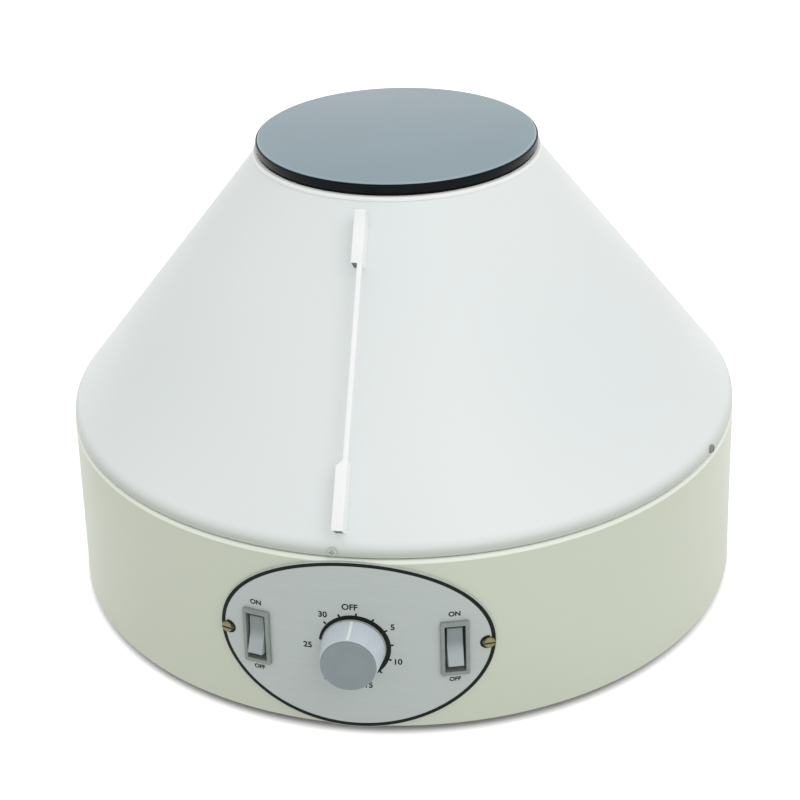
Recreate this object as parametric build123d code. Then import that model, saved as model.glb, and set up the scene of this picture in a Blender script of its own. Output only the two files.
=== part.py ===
"""Milk fat centrifuge: a round cast base with a tilting cone cover, and a rotor for eight butyrometers.

All sizes are in millimetres. The origin is on the bench under the rotor's axis, +Z points up
and the faceplate looks towards -Y. An azimuth is counted from -Y towards +X.
"""
from build123d import *
import os
from math import asin, atan2, cos, degrees, hypot, radians, sin, tan

# Base casting
foot_height = 6.0
plate_recess = 1.0
base_height = 93.5
base_bottom_radius = 180.4
base_top_radius = 178.2
base_wall = 3.0
base_round = 2.0
ledge_thickness = 3.0
flange_thickness = 3.0
flange_width = 11.4

# Base plate, its screws and the feet
plate_thickness = 2.0
plate_gap = 0.8
plate_screw_count = 6
vent_circle = 108.0
vent_length = 40.0
vent_width = 5.0
vent_count = 16
foot_radius = 14.0
foot_taper = 2.0
foot_inset = 40.4
foot_count = 4
foot_screw_recess = 3.4
foot_well_gap = 1.0

# Chamber bowl
bowl_sheet = 1.5
bowl_depth = 42.0
bowl_flange_gap = 1.2
bowl_wall_inset = 20.2
bowl_ledge_gap = 0.5
bowl_wall_depth = 20.0
bowl_slope_width = 22.0
hump_foot_radius = 72.0
hump_shoulder_radius = 58.0
hump_top_radius = 30.0
hump_slope_height = 12.0
hump_clearance = 2.5
bowl_screw_count = 6
seal_side_gap = 0.5
seal_width = 3.0
seal_height = 1.5
seal_gap = 0.4
shaft_hole_radius = 17.0
shaft_seal_lap = 3.0
shaft_seal_edge = 1.5
shaft_seal_height = 2.5

# Cone cover and window
cover_sheet = 2.0
cover_inset = 0.5
cover_skirt_height = 4.0
cover_gap = 1.0
cover_cone_height = 134.0
cover_top_radius = 71.5
cover_knee_round = 4.0
cover_lip_radius = 74.0
cover_lip_round = 0.8
window_seat_width = 14.0
window_margin = 1.6
window_thickness = 5.1
window_edge_round = 0.6
gasket_thickness = 1.4
gasket_inset = 0.7
window_screw_count = 4
ring_thickness = 3.6
ring_height = 3.8
ring_bevel = 2.3
ring_gap = 0.05
ring_screw_end_gap = 0.6
ring_screw_count = 4
ring_screw_step = 72.0
ring_screw_first_azimuth = -2.8

# Grip on the cone
grip_length = 153.0
grip_start_height = 5.9
grip_offset = -5.2
grip_width = 5.5
grip_rise = 11.9
grip_bar_width = 2.4
grip_bar_depth = 2.7
grip_upper_block_length = 26.0
grip_lower_block_length = 33.0
grip_bevel = 3.0
grip_round = 0.5
grip_seat_drop = 0.5
grip_screw_bite = 6.2

# Hinge at the back
hinge_width = 50.0
hinge_knuckle_count = 5
hinge_knuckle_gap = 0.4
hinge_knuckle_radius = 5.0
hinge_pin_radius = 2.5
hinge_pin_overhang = 2.0
hinge_pin_head_radius = 3.7
hinge_pin_head_thickness = 1.8
hinge_pin_offset = 9.8
hinge_pin_rise = 3.5
hinge_leaf_sheet = 2.0
hinge_lower_leaf_height = 34.0
hinge_upper_leaf_height = 36.0
hinge_lower_leaf_drop = 2.5
hinge_upper_leaf_lift = 6.5
hinge_web_height = 10.0
hinge_web_drop = 1.0
hinge_screw_offset = 16.0
hinge_screw_margin = 7.0
hinge_screw_step = 11.0
hinge_screw_length = 6.5

# Faceplate
faceplate_bottom_margin = 0.1
faceplate_top_margin = 0.4
faceplate_half_width = 67.1
faceplate_sheet = 1.5
faceplate_rim = 8.4
faceplate_screw_inset = 4.0
control_drop = 0.6
faceplate_screw_length = 7.0

# Rocker switches
switch_offset = 47.48
switch_drop = 1.0
bezel_width = 14.0
bezel_height = 30.0
bezel_thickness = 1.8
bezel_round = 1.0
housing_width = 12.0
housing_height = 28.0
housing_depth = 22.0
housing_gap = 0.2
switch_tab_pitch = 8.0
rocker_width = 7.8
rocker_height = 20.0
rocker_side_draft = 0.3
rocker_dish = 2.0
rocker_lift = 0.5
rocker_draft = 1.0
rocker_round = 0.6
rocker_depth = 4.0
rocker_pivot_depth = 4.5
rocker_throw = 24.0
rocker_side_gap = 1.2
rocker_end_gap = 2.8
rocker_back_gap = 2.4

# Timer and its knob
knob_base_radius = 15.5
knob_face_radius = 13.2
knob_length = 16.0
knob_gap = 0.6
knob_round = 1.0
knob_hollow_radius = 11.5
knob_hollow_depth = 5.4
knob_bore_depth = 7.0
spindle_end_gap = 0.2
spindle_radius = 3.0
spindle_bury = 12.0
spindle_well_gap = 0.5
timer_width = 36.0
timer_depth = 26.0
timer_standoff = 1.2
timer_round = 3.0
timer_shoulder = 3.0
collar_radius = 5.0
collar_rise = 4.4
collar_gap = 0.2
nut_across_flats = 14.0
nut_thickness = 2.6

# Power inlet
inlet_leaf_gap = 7.5
pad_width = 58.0
pad_height = 33.0
pad_proud = 2.0
pad_root = 12.0
pad_round = 4.0
inlet_flange_width = 50.0
inlet_flange_height = 25.0
inlet_flange_thickness = 2.5
inlet_flange_round = 3.0
inlet_body_width = 28.0
inlet_body_height = 20.0
inlet_body_depth = 24.0
inlet_body_gap = 0.4
inlet_recess_width = 24.6
inlet_recess_height = 16.8
inlet_recess_depth = 16.5
inlet_recess_round = 2.0
inlet_pin_width = 2.0
inlet_pin_height = 4.0
inlet_pin_reach = 13.0
inlet_pin_pitch = 14.0
inlet_earth_rise = 4.0
inlet_screw_pitch = 40.0
inlet_screw_length = 10.0

# Motor
isolator_height = 14.0
isolator_radius = 9.0
isolator_pitch = 96.0
motor_flange_margin = 10.0
motor_flange_thickness = 3.0
motor_flange_round = 8.0
motor_radius = 46.0
motor_can_wall = 2.0
motor_can_length = 56.0
motor_bottom_bell_height = 12.0
motor_top_bell_web = 3.0
motor_boss_radius = 20.0
motor_boss_height = 12.0
motor_bolt_circle = 36.0
motor_bolt_count = 4
motor_bolt_bite = 8.0
shaft_opening_radius = 8.0
stator_length = 40.0
stator_bore_radius = 25.0
air_gap = 0.4
coil_inner_radius = 28.0
coil_outer_radius = 41.0
coil_length = 6.5
coil_round = 2.5
bearing_outer_radius = 16.0
bearing_inner_radius = 6.0
bearing_width = 10.0
bearing_lip = 1.0
bearing_race = 2.0
bearing_shield_dip = 0.5
rotor_end_ring = 3.5
rotor_end_ring_inset = 3.0
capacitor_radius = 17.5
capacitor_length = 62.0
capacitor_inset = 28.0
capacitor_azimuth = 120.0
capacitor_round = 1.5
capacitor_tab_pitch = 12.0

# Shaft, hub and rotor
shaft_bearing_radius = 6.0
shaft_middle_radius = 7.5
shaft_top_radius = 5.0
shaft_tail = 9.0
shaft_shoulder_gap = 0.3
hub_gap = 6.0
rotor_shoulder_radius = 34.75
hub_radius = 16.0
hub_flange_thickness = 6.0
hub_fillet = 6.0
rotor_sheet = 2.0
nut_flange_radius = 13.0
nut_flange_thickness = 3.0
nut_hex_across = 17.0
nut_hex_height = 8.0
nut_dome_radius = 7.5
nut_dome_height = 3.75
nut_thread_cover = 3.0

# Tube sleeves
sleeve_count = 8
sleeve_first_azimuth = 22.5
sleeve_tilt = 52.1
sleeve_foot_inset = 22.0
sleeve_foot_lift = 16.5
sleeve_length = 115.0
sleeve_bore_radius = 12.2
sleeve_wall = 1.3
cushion_thickness = 3.0
cushion_gap = 0.2
cushion_step = 0.6
sleeve_floor = 1.3
hoop_start = 78.0
hoop_width = 20.0
hoop_sheet = 1.5

# Chamber heater
heater_inset = 38.0
heater_tube_radius = 4.0
heater_rise = 9.0
heater_sweep = 320.0
heater_first_azimuth = 200.0
heater_tail_length = 22.0
heater_hole_gap = 0.3
heater_clip_count = 3
heater_clip_length = 8.0
heater_clip_margin = 2.0
thermostat_radius = 9.0
thermostat_height = 8.0
thermostat_inset = 24.0
thermostat_azimuth = 150.0
thermostat_tab_pitch = 9.0

# Fasteners: head radius, head height and shank radius
tiny_screw = (2.3, 1.3, 1.1)
small_screw = (2.9, 1.7, 1.5)
medium_screw = (3.8, 2.4, 2.0)
large_screw = (5.0, 3.0, 2.5)
screw_clearance = 0.1
screw_point_gap = 0.5
head_round_share = 0.55
nut_inradius = 4.0
nut_height = 3.5
nut_thread = 1.5
tab_width = 6.3
tab_thickness = 0.8
tab_length = 7.0
slot_width = 0.9
slot_depth = 0.8
recess_share = 1.2

# Fits
running_clearance = 0.05
press_clearance = 0.01
assembly_gap = 0.05
seal_running_gap = 1.0

# Heights worked out from the floor up
plate_bottom = foot_height
plate_top = plate_bottom + plate_thickness
shell_bottom = foot_height - plate_recess
shell_top = shell_bottom + base_height
faceplate_half_height = (base_height - faceplate_bottom_margin - faceplate_top_margin) / 2
faceplate_height = shell_bottom + faceplate_bottom_margin + faceplate_half_height
control_height = faceplate_height - control_drop
switch_height = control_height - switch_drop
flange_top = plate_top + flange_thickness
ledge_bottom = shell_top - ledge_thickness
bowl_rim_top = shell_top + bowl_sheet
bowl_floor = bowl_rim_top - bowl_depth
motor_flange_bottom = plate_top + isolator_height
motor_bottom = motor_flange_bottom + motor_flange_thickness
can_bottom = motor_bottom + motor_bottom_bell_height
can_top = can_bottom + motor_can_length
top_bell_top = can_top + motor_top_bell_web + motor_boss_height
hump_top = top_bell_top + hump_clearance + bowl_sheet
hub_bottom = hump_top + hub_gap
skirt_bottom = shell_top + cover_gap
cover_knee = skirt_bottom + cover_skirt_height
ring_bottom = shell_top + seal_height + seal_gap
hinge_pin_height = skirt_bottom + hinge_pin_rise
cover_top = cover_knee + cover_cone_height
window_bottom = cover_top + gasket_thickness
window_top = window_bottom + window_thickness
hinge_lower_leaf_top = shell_top - hinge_lower_leaf_drop
hinge_lower_leaf_bottom = hinge_lower_leaf_top - hinge_lower_leaf_height
inlet_height = hinge_lower_leaf_bottom - inlet_leaf_gap - pad_height / 2
hinge_upper_leaf_bottom = cover_knee + hinge_upper_leaf_lift
sleeve_foot_height = bowl_floor + sleeve_foot_lift + bowl_sheet

# Radii worked out from the sizes
cover_skirt_radius = base_top_radius - cover_inset
hinge_pin_reach = cover_skirt_radius + hinge_pin_offset
seal_outer_radius = cover_skirt_radius - cover_sheet - seal_side_gap
bowl_flange_radius = seal_outer_radius - seal_width - bowl_flange_gap
bowl_wall_radius = base_top_radius - bowl_wall_inset
bowl_slope_foot = bowl_wall_radius - bowl_slope_width
heater_circle = bowl_slope_foot - heater_inset
thermostat_circle = bowl_slope_foot - thermostat_inset
ledge_inner_radius = bowl_wall_radius + bowl_sheet + bowl_ledge_gap
flange_inner_radius = base_bottom_radius - base_wall - flange_width
foot_circle = base_bottom_radius - foot_inset
capacitor_reach = foot_circle - capacitor_inset
bowl_screw_circle = (ledge_inner_radius + bowl_flange_radius) / 2
plate_screw_circle = (flange_inner_radius + base_bottom_radius - base_wall) / 2
window_radius = cover_lip_radius - window_margin
window_opening_radius = cover_lip_radius - window_seat_width
window_screw_circle = (window_opening_radius + window_radius) / 2
sleeve_foot_radius = bowl_wall_radius - sleeve_foot_inset

# Angles worked out from the sizes
wall_lean = degrees(atan2(base_bottom_radius - base_top_radius, base_height))
cone_run = cover_skirt_radius - cover_top_radius
cone_lean = degrees(atan2(cone_run, cover_cone_height))

# The rotor sheet lies under the sleeves and turns level at its shoulder
sleeve_outer_radius = sleeve_bore_radius + sleeve_wall
sheet_offset = sleeve_outer_radius + assembly_gap
slope = tan(radians(sleeve_tilt))
rotor_foot_radius = sleeve_foot_radius - sheet_offset * sin(radians(sleeve_tilt))
rotor_foot_height = sleeve_foot_height - sheet_offset * cos(radians(sleeve_tilt))
rotor_top = rotor_foot_height + (rotor_foot_radius - rotor_shoulder_radius) * slope
hub_top = rotor_top - rotor_sheet
nut_top = rotor_top + nut_flange_thickness + nut_hex_height + nut_dome_height

# Reach of the cutting tools
rise_up = (Align.CENTER, Align.CENTER, Align.MIN)
far = 400.0
drill = 12.0
overcut = 1.0


def wall_radius(height, lift=0.0):
    """Outer radius of the base wall at a height, or of a skin lifted off it."""
    drop = (height - shell_bottom) / base_height
    return base_bottom_radius - drop * (base_bottom_radius - base_top_radius) + lift


def cone_radius(height, lift=0.0):
    """Outer radius of the cone at a height, or of a skin lifted square off it."""
    climb = (height - cover_knee) / cover_cone_height
    return cover_skirt_radius - climb * cone_run + lift / cos(radians(cone_lean))


def turned(outline, rounds=()):
    """Solid turned about Z from (radius, height) points, with some corners rounded first."""
    face = make_face(Polyline(*outline, close=True))
    for corner, radius in rounds:
        vertex = face.vertices().sort_by_distance((corner[0], corner[1], 0))[0]
        face = fillet(vertex, radius)
    return revolve(Plane.XZ * face, Axis.Z)


def offset_line(line, distance):
    """Shift an open (radius, height) line to its left, with mitred corners."""
    sides = []
    for start, end in zip(line, line[1:]):
        length = hypot(end[0] - start[0], end[1] - start[1])
        sides.append(((start[1] - end[1]) / length, (end[0] - start[0]) / length))
    shifted = []
    for point, before, after in zip(line, sides[:1] + sides, sides + sides[-1:]):
        scale = distance / (1 + before[0] * after[0] + before[1] * after[1])
        shifted.append((point[0] + scale * (before[0] + after[0]), point[1] + scale * (before[1] + after[1])))
    return shifted


def turned_sheet(line, thickness, rounds=()):
    """Sheet of even thickness turned about Z, lying to the left of an open line."""
    return turned(line + offset_line(line, thickness)[::-1], rounds)


def surface_plane(azimuth, radius, height, lean):
    """Plane on a turned surface: X runs round it, Y runs up it and Z leaves it."""
    turn = radians(azimuth)
    tip = radians(lean)
    outward = (sin(turn) * cos(tip), -cos(turn) * cos(tip), sin(tip))
    origin = (radius * sin(turn), -radius * cos(turn), height)
    return Plane(origin=origin, x_dir=(cos(turn), sin(turn), 0), z_dir=outward)


def on_wall(azimuth, height, lift=0.0):
    """Plane on the base wall, or lifted off it."""
    return surface_plane(azimuth, wall_radius(height), height, wall_lean).offset(lift)


def wall_azimuth(offset, height):
    """Azimuth of the place on the wall that lies a distance to the right of the middle."""
    return degrees(asin(offset / wall_radius(height)))


def on_cone(azimuth, height, lift=0.0):
    """Plane on the cone, or lifted off it."""
    return surface_plane(azimuth, cone_radius(height), height, cone_lean).offset(lift)


def around(count, radius, height, first=0.0):
    """Locations evenly round the Z axis, each with its X axis pointing outwards."""
    return [
        Rot(0, 0, first - 90 + 360 * i / count) * Pos(radius, 0, height)
        for i in range(count)
    ]


def rod(radius, bottom, top):
    """Upright cylinder between two heights."""
    return Pos(0, 0, bottom) * Cylinder(radius, top - bottom, align=rise_up)


def block(width, height, bottom, top, corner=0.0):
    """Upright block between two heights, with its upright edges rounded."""
    shape = Pos(0, 0, bottom) * Box(width, height, top - bottom, align=rise_up)
    if corner > 0:
        shape = fillet(shape.edges().filter_by(Axis.Z), corner)
    return shape


def screw(size, length, slots=2):
    """Pan-head screw: the head stands on its own origin and the shank goes down."""
    head_radius, head_height, shank_radius = size
    head = rod(head_radius, 0, head_height)
    head = fillet(head.edges().sort_by(Axis.Z)[-1], head_height * head_round_share)
    reach = 2 * head_radius + overcut if slots == 1 else head_radius * recess_share
    for i in range(slots):
        cut = Box(reach, slot_width, slot_depth * 2)
        head -= Rot(0, 0, 90 * i) * (Pos(0, 0, head_height) * cut)
    return head + rod(shank_radius, -length, 0)


def shank_hole(size, depth, reach=0.0):
    """Hole for a screw's shank, from a depth below its own origin to a reach above."""
    return rod(size[2] + screw_clearance, -depth, reach)


def tab(low):
    """Flat blade terminal that hangs below a height."""
    return block(tab_thickness, tab_width, low - tab_length, low)


def hexagon(inradius, height):
    """Hexagon prism from its own origin up."""
    return extrude(RegularPolygon(inradius, 6, major_radius=False), height)


def group(pieces):
    """Several separate solids kept together."""
    return Compound(children=list(pieces))


def base_body(lift=0.0):
    """Filled body inside the base wall's outer face, or inside a skin lifted off it."""
    return turned([
        (0, shell_bottom),
        (wall_radius(shell_bottom, lift), shell_bottom),
        (wall_radius(shell_top, lift), shell_top),
        (0, shell_top),
    ])


def cover_body(lift=0.0):
    """Filled body inside the cover's outer face, or inside a skin lifted off it."""
    line = offset_line(cover_line(), -lift)
    return turned([(0, line[0][1])] + line[:3] + [(0, line[2][1])])


def cover_line():
    """The cover's outer face, from the skirt's foot up to the window opening."""
    return [
        (cover_skirt_radius, skirt_bottom),
        (cover_skirt_radius, cover_knee),
        (cover_top_radius, cover_top),
        (window_opening_radius, cover_top),
    ]


def wall_skin(bottom, top, inner, outer):
    """Ring that follows the base wall between two heights and two lifts."""
    return turned([
        (wall_radius(bottom, inner), bottom),
        (wall_radius(bottom, outer), bottom),
        (wall_radius(top, outer), top),
        (wall_radius(top, inner), top),
    ])


def front_prism(shape, height):
    """Prism of a flat shape, run from the axis out of the front at a height."""
    return extrude(Plane.XZ * (Pos(0, height) * shape), far)


# Places that several pieces share

def plate_screw_places():
    return around(plate_screw_count, plate_screw_circle, plate_bottom, first=30)


def foot_places():
    return around(foot_count, foot_circle, 0, first=45)


def bowl_screw_places():
    return around(bowl_screw_count, bowl_screw_circle, bowl_rim_top)


def isolator_places():
    half = isolator_pitch / 2
    return [Pos(x, y, 0) for x in (-half, half) for y in (-half, half)]


def motor_bolt_places():
    return around(motor_bolt_count, motor_bolt_circle, motor_flange_bottom)


def faceplate_screw_planes():
    azimuth = wall_azimuth(faceplate_half_width - faceplate_screw_inset, control_height)
    return [on_wall(side * azimuth, control_height, faceplate_sheet) for side in (-1, 1)]


def switch_plane(side):
    """Plane on the faceplate's front at the left (-1) or right (1) switch."""
    azimuth = wall_azimuth(switch_offset, switch_height)
    return on_wall(side * azimuth, switch_height, faceplate_sheet)


def knob_plane():
    return on_wall(0, control_height, faceplate_sheet)


def inlet_plane():
    """Plane on the inlet pad's flat face, looking out of the back."""
    reach = wall_radius(inlet_height, pad_proud)
    return Plane(origin=(0, reach, inlet_height), x_dir=(-1, 0, 0), z_dir=(0, 1, 0))


def inlet_screw_places():
    half = inlet_screw_pitch / 2
    return [Pos(side * half, 0, inlet_flange_thickness) for side in (-1, 1)]


def lower_leaf_screw_planes():
    reach = degrees(atan2(hinge_screw_offset, hinge_pin_reach))
    first = hinge_lower_leaf_bottom + hinge_screw_margin
    heights = (first, first + hinge_screw_step)
    return [on_wall(180 + side * reach, z, hinge_leaf_sheet) for side in (-1, 1) for z in heights]


def upper_leaf_screw_planes():
    planes = []
    last = hinge_upper_leaf_bottom + hinge_upper_leaf_height - hinge_screw_margin
    for height in (last, last - hinge_screw_step):
        reach = degrees(atan2(hinge_screw_offset, cone_radius(height)))
        planes += [on_cone(180 + side * reach, height, hinge_leaf_sheet) for side in (-1, 1)]
    return planes


def ring_screw_planes():
    height = ring_bottom + ring_height / 2
    azimuths = [ring_screw_first_azimuth + i * ring_screw_step for i in range(ring_screw_count)]
    return [surface_plane(azimuth, cover_skirt_radius, height, 0) for azimuth in azimuths]


def grip_frame():
    """Frame at the grip's lower end: X across it, Y up the cone and Z off the cone."""
    start = cover_knee + grip_start_height
    return on_cone(0, start) * Pos(grip_offset, 0, 0)


def grip_screw_places():
    upper = grip_length - grip_upper_block_length / 2
    return [Pos(0, grip_lower_block_length / 2, 0), Pos(0, upper, 0)]


def sleeve_point(along, off):
    """(radius, height) of a point along a sleeve's axis and square off it."""
    tilt = radians(sleeve_tilt)
    radius = sleeve_foot_radius - along * cos(tilt) + off * sin(tilt)
    height = sleeve_foot_height + along * sin(tilt) + off * cos(tilt)
    return (radius, height)


def sleeve_frames():
    """Frames at the sleeves' feet, with Z up along each sleeve."""
    radius, height = sleeve_point(0, 0)
    return [
        surface_plane(sleeve_first_azimuth + 360 * i / sleeve_count, radius, height, 180 - sleeve_tilt)
        for i in range(sleeve_count)
    ]


# Base

def base_shell():
    """Cast base: a drafted wall, the ledge for the bowl and the flange for the base plate."""
    inner = -base_wall
    top_corner = (wall_radius(shell_top), shell_top)
    shell = turned([
        (wall_radius(shell_bottom), shell_bottom),
        top_corner,
        (ledge_inner_radius, shell_top),
        (ledge_inner_radius, ledge_bottom),
        (wall_radius(ledge_bottom, inner), ledge_bottom),
        (wall_radius(flange_top, inner), flange_top),
        (flange_inner_radius, flange_top),
        (flange_inner_radius, plate_top),
        (wall_radius(plate_top, inner), plate_top),
        (wall_radius(shell_bottom, inner), shell_bottom),
    ], rounds=[(top_corner, base_round)])
    pad = inlet_plane() * block(pad_width, pad_height, -pad_root, 0, pad_round)
    shell += pad - base_body(inner)
    opening = Ellipse(faceplate_half_width - faceplate_rim, faceplate_half_height - faceplate_rim)
    shell -= front_prism(opening, faceplate_height)
    gap = 2 * inlet_body_gap
    shell -= inlet_plane() * block(inlet_body_width + gap, inlet_body_height + gap, -pad_root, overcut)
    for place in inlet_screw_places():
        shell -= inlet_plane() * place * shank_hole(small_screw, drill)
    for plane in faceplate_screw_planes():
        shell -= plane * shank_hole(small_screw, drill)
    for plane in lower_leaf_screw_planes():
        shell -= plane * shank_hole(medium_screw, drill)
    for place in bowl_screw_places():
        shell -= place * shank_hole(medium_screw, drill)
    for place in plate_screw_places():
        shell -= place * shank_hole(medium_screw, 0, reach=flange_top - plate_bottom + overcut)
    return shell


def base_plate():
    """Steel floor plate with cooling slots."""
    plate = rod(wall_radius(shell_bottom, -base_wall - plate_gap), plate_bottom, plate_top)
    for place in around(vent_count, vent_circle, plate_bottom, first=360 / vent_count / 2):
        slot = extrude(SlotOverall(vent_length, vent_width), plate_thickness)
        plate -= place * slot
    for place in plate_screw_places():
        plate -= place * shank_hole(medium_screw, overcut, reach=plate_thickness + overcut)
    for place in foot_places():
        plate -= place * shank_hole(large_screw, 0, reach=far)
    for place in isolator_places():
        plate -= place * shank_hole(large_screw, 0, reach=far)
    return plate


def base_plate_screws():
    """Screws that hold the base plate up against the flange."""
    length = flange_top - plate_bottom
    return group(place * Rot(180, 0, 0) * screw(medium_screw, length) for place in plate_screw_places())


def rubber_feet():
    """Tapered rubber feet with a well for the screw head."""
    foot = turned([
        (large_screw[2] + screw_clearance, foot_screw_recess),
        (large_screw[0] + foot_well_gap, foot_screw_recess),
        (large_screw[0] + foot_well_gap, 0),
        (foot_radius - foot_taper, 0),
        (foot_radius, foot_height),
        (large_screw[2] + screw_clearance, foot_height),
    ])
    return group(place * foot for place in foot_places())


def foot_screws():
    """Screws up through the feet, each with a nut above the base plate."""
    length = plate_top + nut_height + nut_thread - foot_screw_recess
    piece = Pos(0, 0, foot_screw_recess) * Rot(180, 0, 0) * screw(large_screw, length)
    piece += Pos(0, 0, plate_top) * hexagon(nut_inradius, nut_height)
    return group(place * piece for place in foot_places())


# Chamber

def bowl_line():
    """Upper face of the bowl, from its rim down and up over the motor hump."""
    wall_foot = bowl_rim_top - bowl_wall_depth
    return [
        (bowl_flange_radius, bowl_rim_top),
        (bowl_wall_radius, bowl_rim_top),
        (bowl_wall_radius, wall_foot),
        (bowl_slope_foot, bowl_floor),
        (hump_foot_radius, bowl_floor),
        (hump_shoulder_radius, hump_top - hump_slope_height),
        (hump_top_radius, hump_top),
        (shaft_hole_radius, hump_top),
    ]


def heater_tail_places():
    first = heater_first_azimuth
    return [
        Rot(0, 0, azimuth - 90) * Pos(heater_circle, 0, bowl_floor + heater_rise)
        for azimuth in (first, first + heater_sweep)
    ]


def chamber_bowl():
    """Spun bowl that lines the chamber."""
    bowl = turned_sheet(bowl_line(), bowl_sheet)
    for place in bowl_screw_places():
        bowl -= place * shank_hole(medium_screw, drill, reach=overcut)
    for place in heater_tail_places():
        bowl -= place * rod(heater_tube_radius + heater_hole_gap, -heater_tail_length, -heater_rise / 2)
    return bowl


def bowl_screws():
    """Screws that hold the bowl's rim to the ledge."""
    return group(place * screw(medium_screw, bowl_sheet + ledge_thickness) for place in bowl_screw_places())


def shaft_seal():
    """Rubber ring that closes the hump round the shaft."""
    lip = shaft_bearing_radius + seal_running_gap
    low = hump_top - bowl_sheet
    return turned([
        (lip, low),
        (shaft_hole_radius - assembly_gap, low),
        (shaft_hole_radius - assembly_gap, hump_top),
        (shaft_hole_radius + shaft_seal_lap, hump_top),
        (shaft_hole_radius + shaft_seal_lap, hump_top + shaft_seal_edge),
        (lip, hump_top + shaft_seal_height),
    ])


def lid_seal():
    """Flat rubber ring on the ledge, under the cover."""
    inner = seal_outer_radius - seal_width
    return turned([
        (inner, shell_top),
        (seal_outer_radius, shell_top),
        (seal_outer_radius, shell_top + seal_height),
        (inner, shell_top + seal_height),
    ])


def heater_ring():
    """Tubular heater that runs most of the way round the hump, with its two tails down."""
    low = bowl_floor + heater_rise
    section = Plane.XZ * (Pos(heater_circle, low) * Circle(heater_tube_radius))
    ring = Rot(0, 0, heater_first_azimuth - 90) * revolve(section, Axis.Z, revolution_arc=heater_sweep)
    for place in heater_tail_places():
        ring += place * rod(heater_tube_radius, -heater_tail_length, 0)
        ring += place * Sphere(heater_tube_radius)
    return ring


def heater_clips():
    """Posts that carry the heater above the bowl's floor."""
    side = 2 * (heater_tube_radius + heater_clip_margin)
    clips = []
    for i in range(heater_clip_count):
        azimuth = heater_first_azimuth + heater_sweep * (i + 0.5) / heater_clip_count
        clip = block(side, heater_clip_length, 0, heater_rise + heater_tube_radius + heater_clip_margin)
        clip = Rot(0, 0, azimuth - 90) * Pos(heater_circle, 0, bowl_floor) * clip
        section = Plane.XZ * (Pos(heater_circle, bowl_floor + heater_rise) * Circle(heater_tube_radius))
        clips.append(clip - revolve(section, Axis.Z))
    return group(clips)


def thermostat():
    """Snap-disc thermostat under the bowl's floor."""
    top = bowl_floor - bowl_sheet
    body = rod(thermostat_radius, top - thermostat_height, top)
    for side in (-1, 1):
        body += Pos(side * thermostat_tab_pitch / 2, 0, 0) * tab(top - thermostat_height)
    return Rot(0, 0, thermostat_azimuth - 90) * Pos(thermostat_circle, 0, 0) * body


# Cover

def cover_shell():
    """Spun cone cover: a short skirt, the cone and a flat lip under the window."""
    knee = (cover_skirt_radius, cover_knee)
    line = cover_line()
    inner_knee = offset_line(line, cover_sheet)[1]
    rounds = [(knee, cover_knee_round), (inner_knee, cover_knee_round - cover_sheet)]
    shell = turned_sheet(line, cover_sheet, rounds)
    low = cover_top - cover_sheet
    edge = (cover_lip_radius, cover_top)
    lip = [(window_screw_circle, low), (cover_lip_radius, low), edge, (window_screw_circle, cover_top)]
    shell += turned(lip, [(edge, cover_lip_round)])
    for plane in ring_screw_planes():
        shell -= plane * shank_hole(tiny_screw, drill)
    for place in window_screw_places():
        shell -= place * shank_hole(small_screw, drill, reach=overcut)
    for place in grip_screw_places():
        shell -= grip_frame() * place * shank_hole(small_screw, drill, reach=overcut)
    for plane in upper_leaf_screw_planes():
        shell -= plane * shank_hole(medium_screw, drill)
    return shell


def window_screw_places():
    low = cover_top - cover_sheet
    return [place * Rot(180, 0, 0) for place in around(window_screw_count, window_screw_circle, low, first=45)]


def window_gasket():
    """Dark gasket between the cover's lip and the window."""
    gasket = rod(window_radius - gasket_inset, cover_top, window_bottom)
    gasket -= rod(window_opening_radius, cover_top, window_bottom)
    for place in window_screw_places():
        gasket -= place * shank_hole(small_screw, drill, reach=overcut)
    return gasket


def window_plate():
    """Round smoked window on top of the cone."""
    plate = rod(window_radius, window_bottom, window_top)
    plate = fillet(plate.edges().filter_by(GeomType.CIRCLE), window_edge_round)
    for place in window_screw_places():
        plate -= place * shank_hole(small_screw, cover_sheet + gasket_thickness + window_thickness / 2)
    return plate


def window_screws():
    """Screws up through the lip into the window."""
    length = cover_sheet + gasket_thickness + window_thickness / 2 - assembly_gap
    return group(place * screw(small_screw, length) for place in window_screw_places())


def cover_ring():
    """Stiffening ring inside the skirt."""
    outer = cover_skirt_radius - cover_sheet - ring_gap
    inner = outer - ring_thickness
    high = ring_bottom + ring_height
    shoulder = [(outer, high - ring_bevel), (outer - ring_bevel, high)]
    ring = turned([(inner, ring_bottom), (outer, ring_bottom)] + shoulder + [(inner, high)])
    for plane in ring_screw_planes():
        ring -= plane * shank_hole(tiny_screw, drill)
    return ring


def cover_ring_screws():
    """Small screws through the skirt into the ring."""
    length = cover_sheet + ring_gap + ring_thickness - ring_screw_end_gap
    return group(plane * screw(tiny_screw, length) for plane in ring_screw_planes())


def grip_block(start, length, bevel):
    """End block of the grip, hollowed for the cone and rebated for the bar."""
    half = grip_width / 2
    outline = [(-half, start), (half, start), (half, start + length), (-half + bevel, start + length)]
    if bevel > 0:
        outline.append((-half, start + length - bevel))
    body = extrude(make_face(Polyline(*outline, close=True)), grip_rise + cover_sheet)
    body = Pos(0, 0, -cover_sheet) * body
    body = fillet(body.edges().filter_by(GeomType.LINE).group_by(Axis.Z)[-1], grip_round)
    body -= grip_bar_solid(assembly_gap)
    for place in grip_screw_places():
        body -= place * shank_hole(small_screw, cover_sheet, reach=grip_screw_bite + screw_point_gap)
    return grip_frame() * body - cover_body(assembly_gap)


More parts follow.
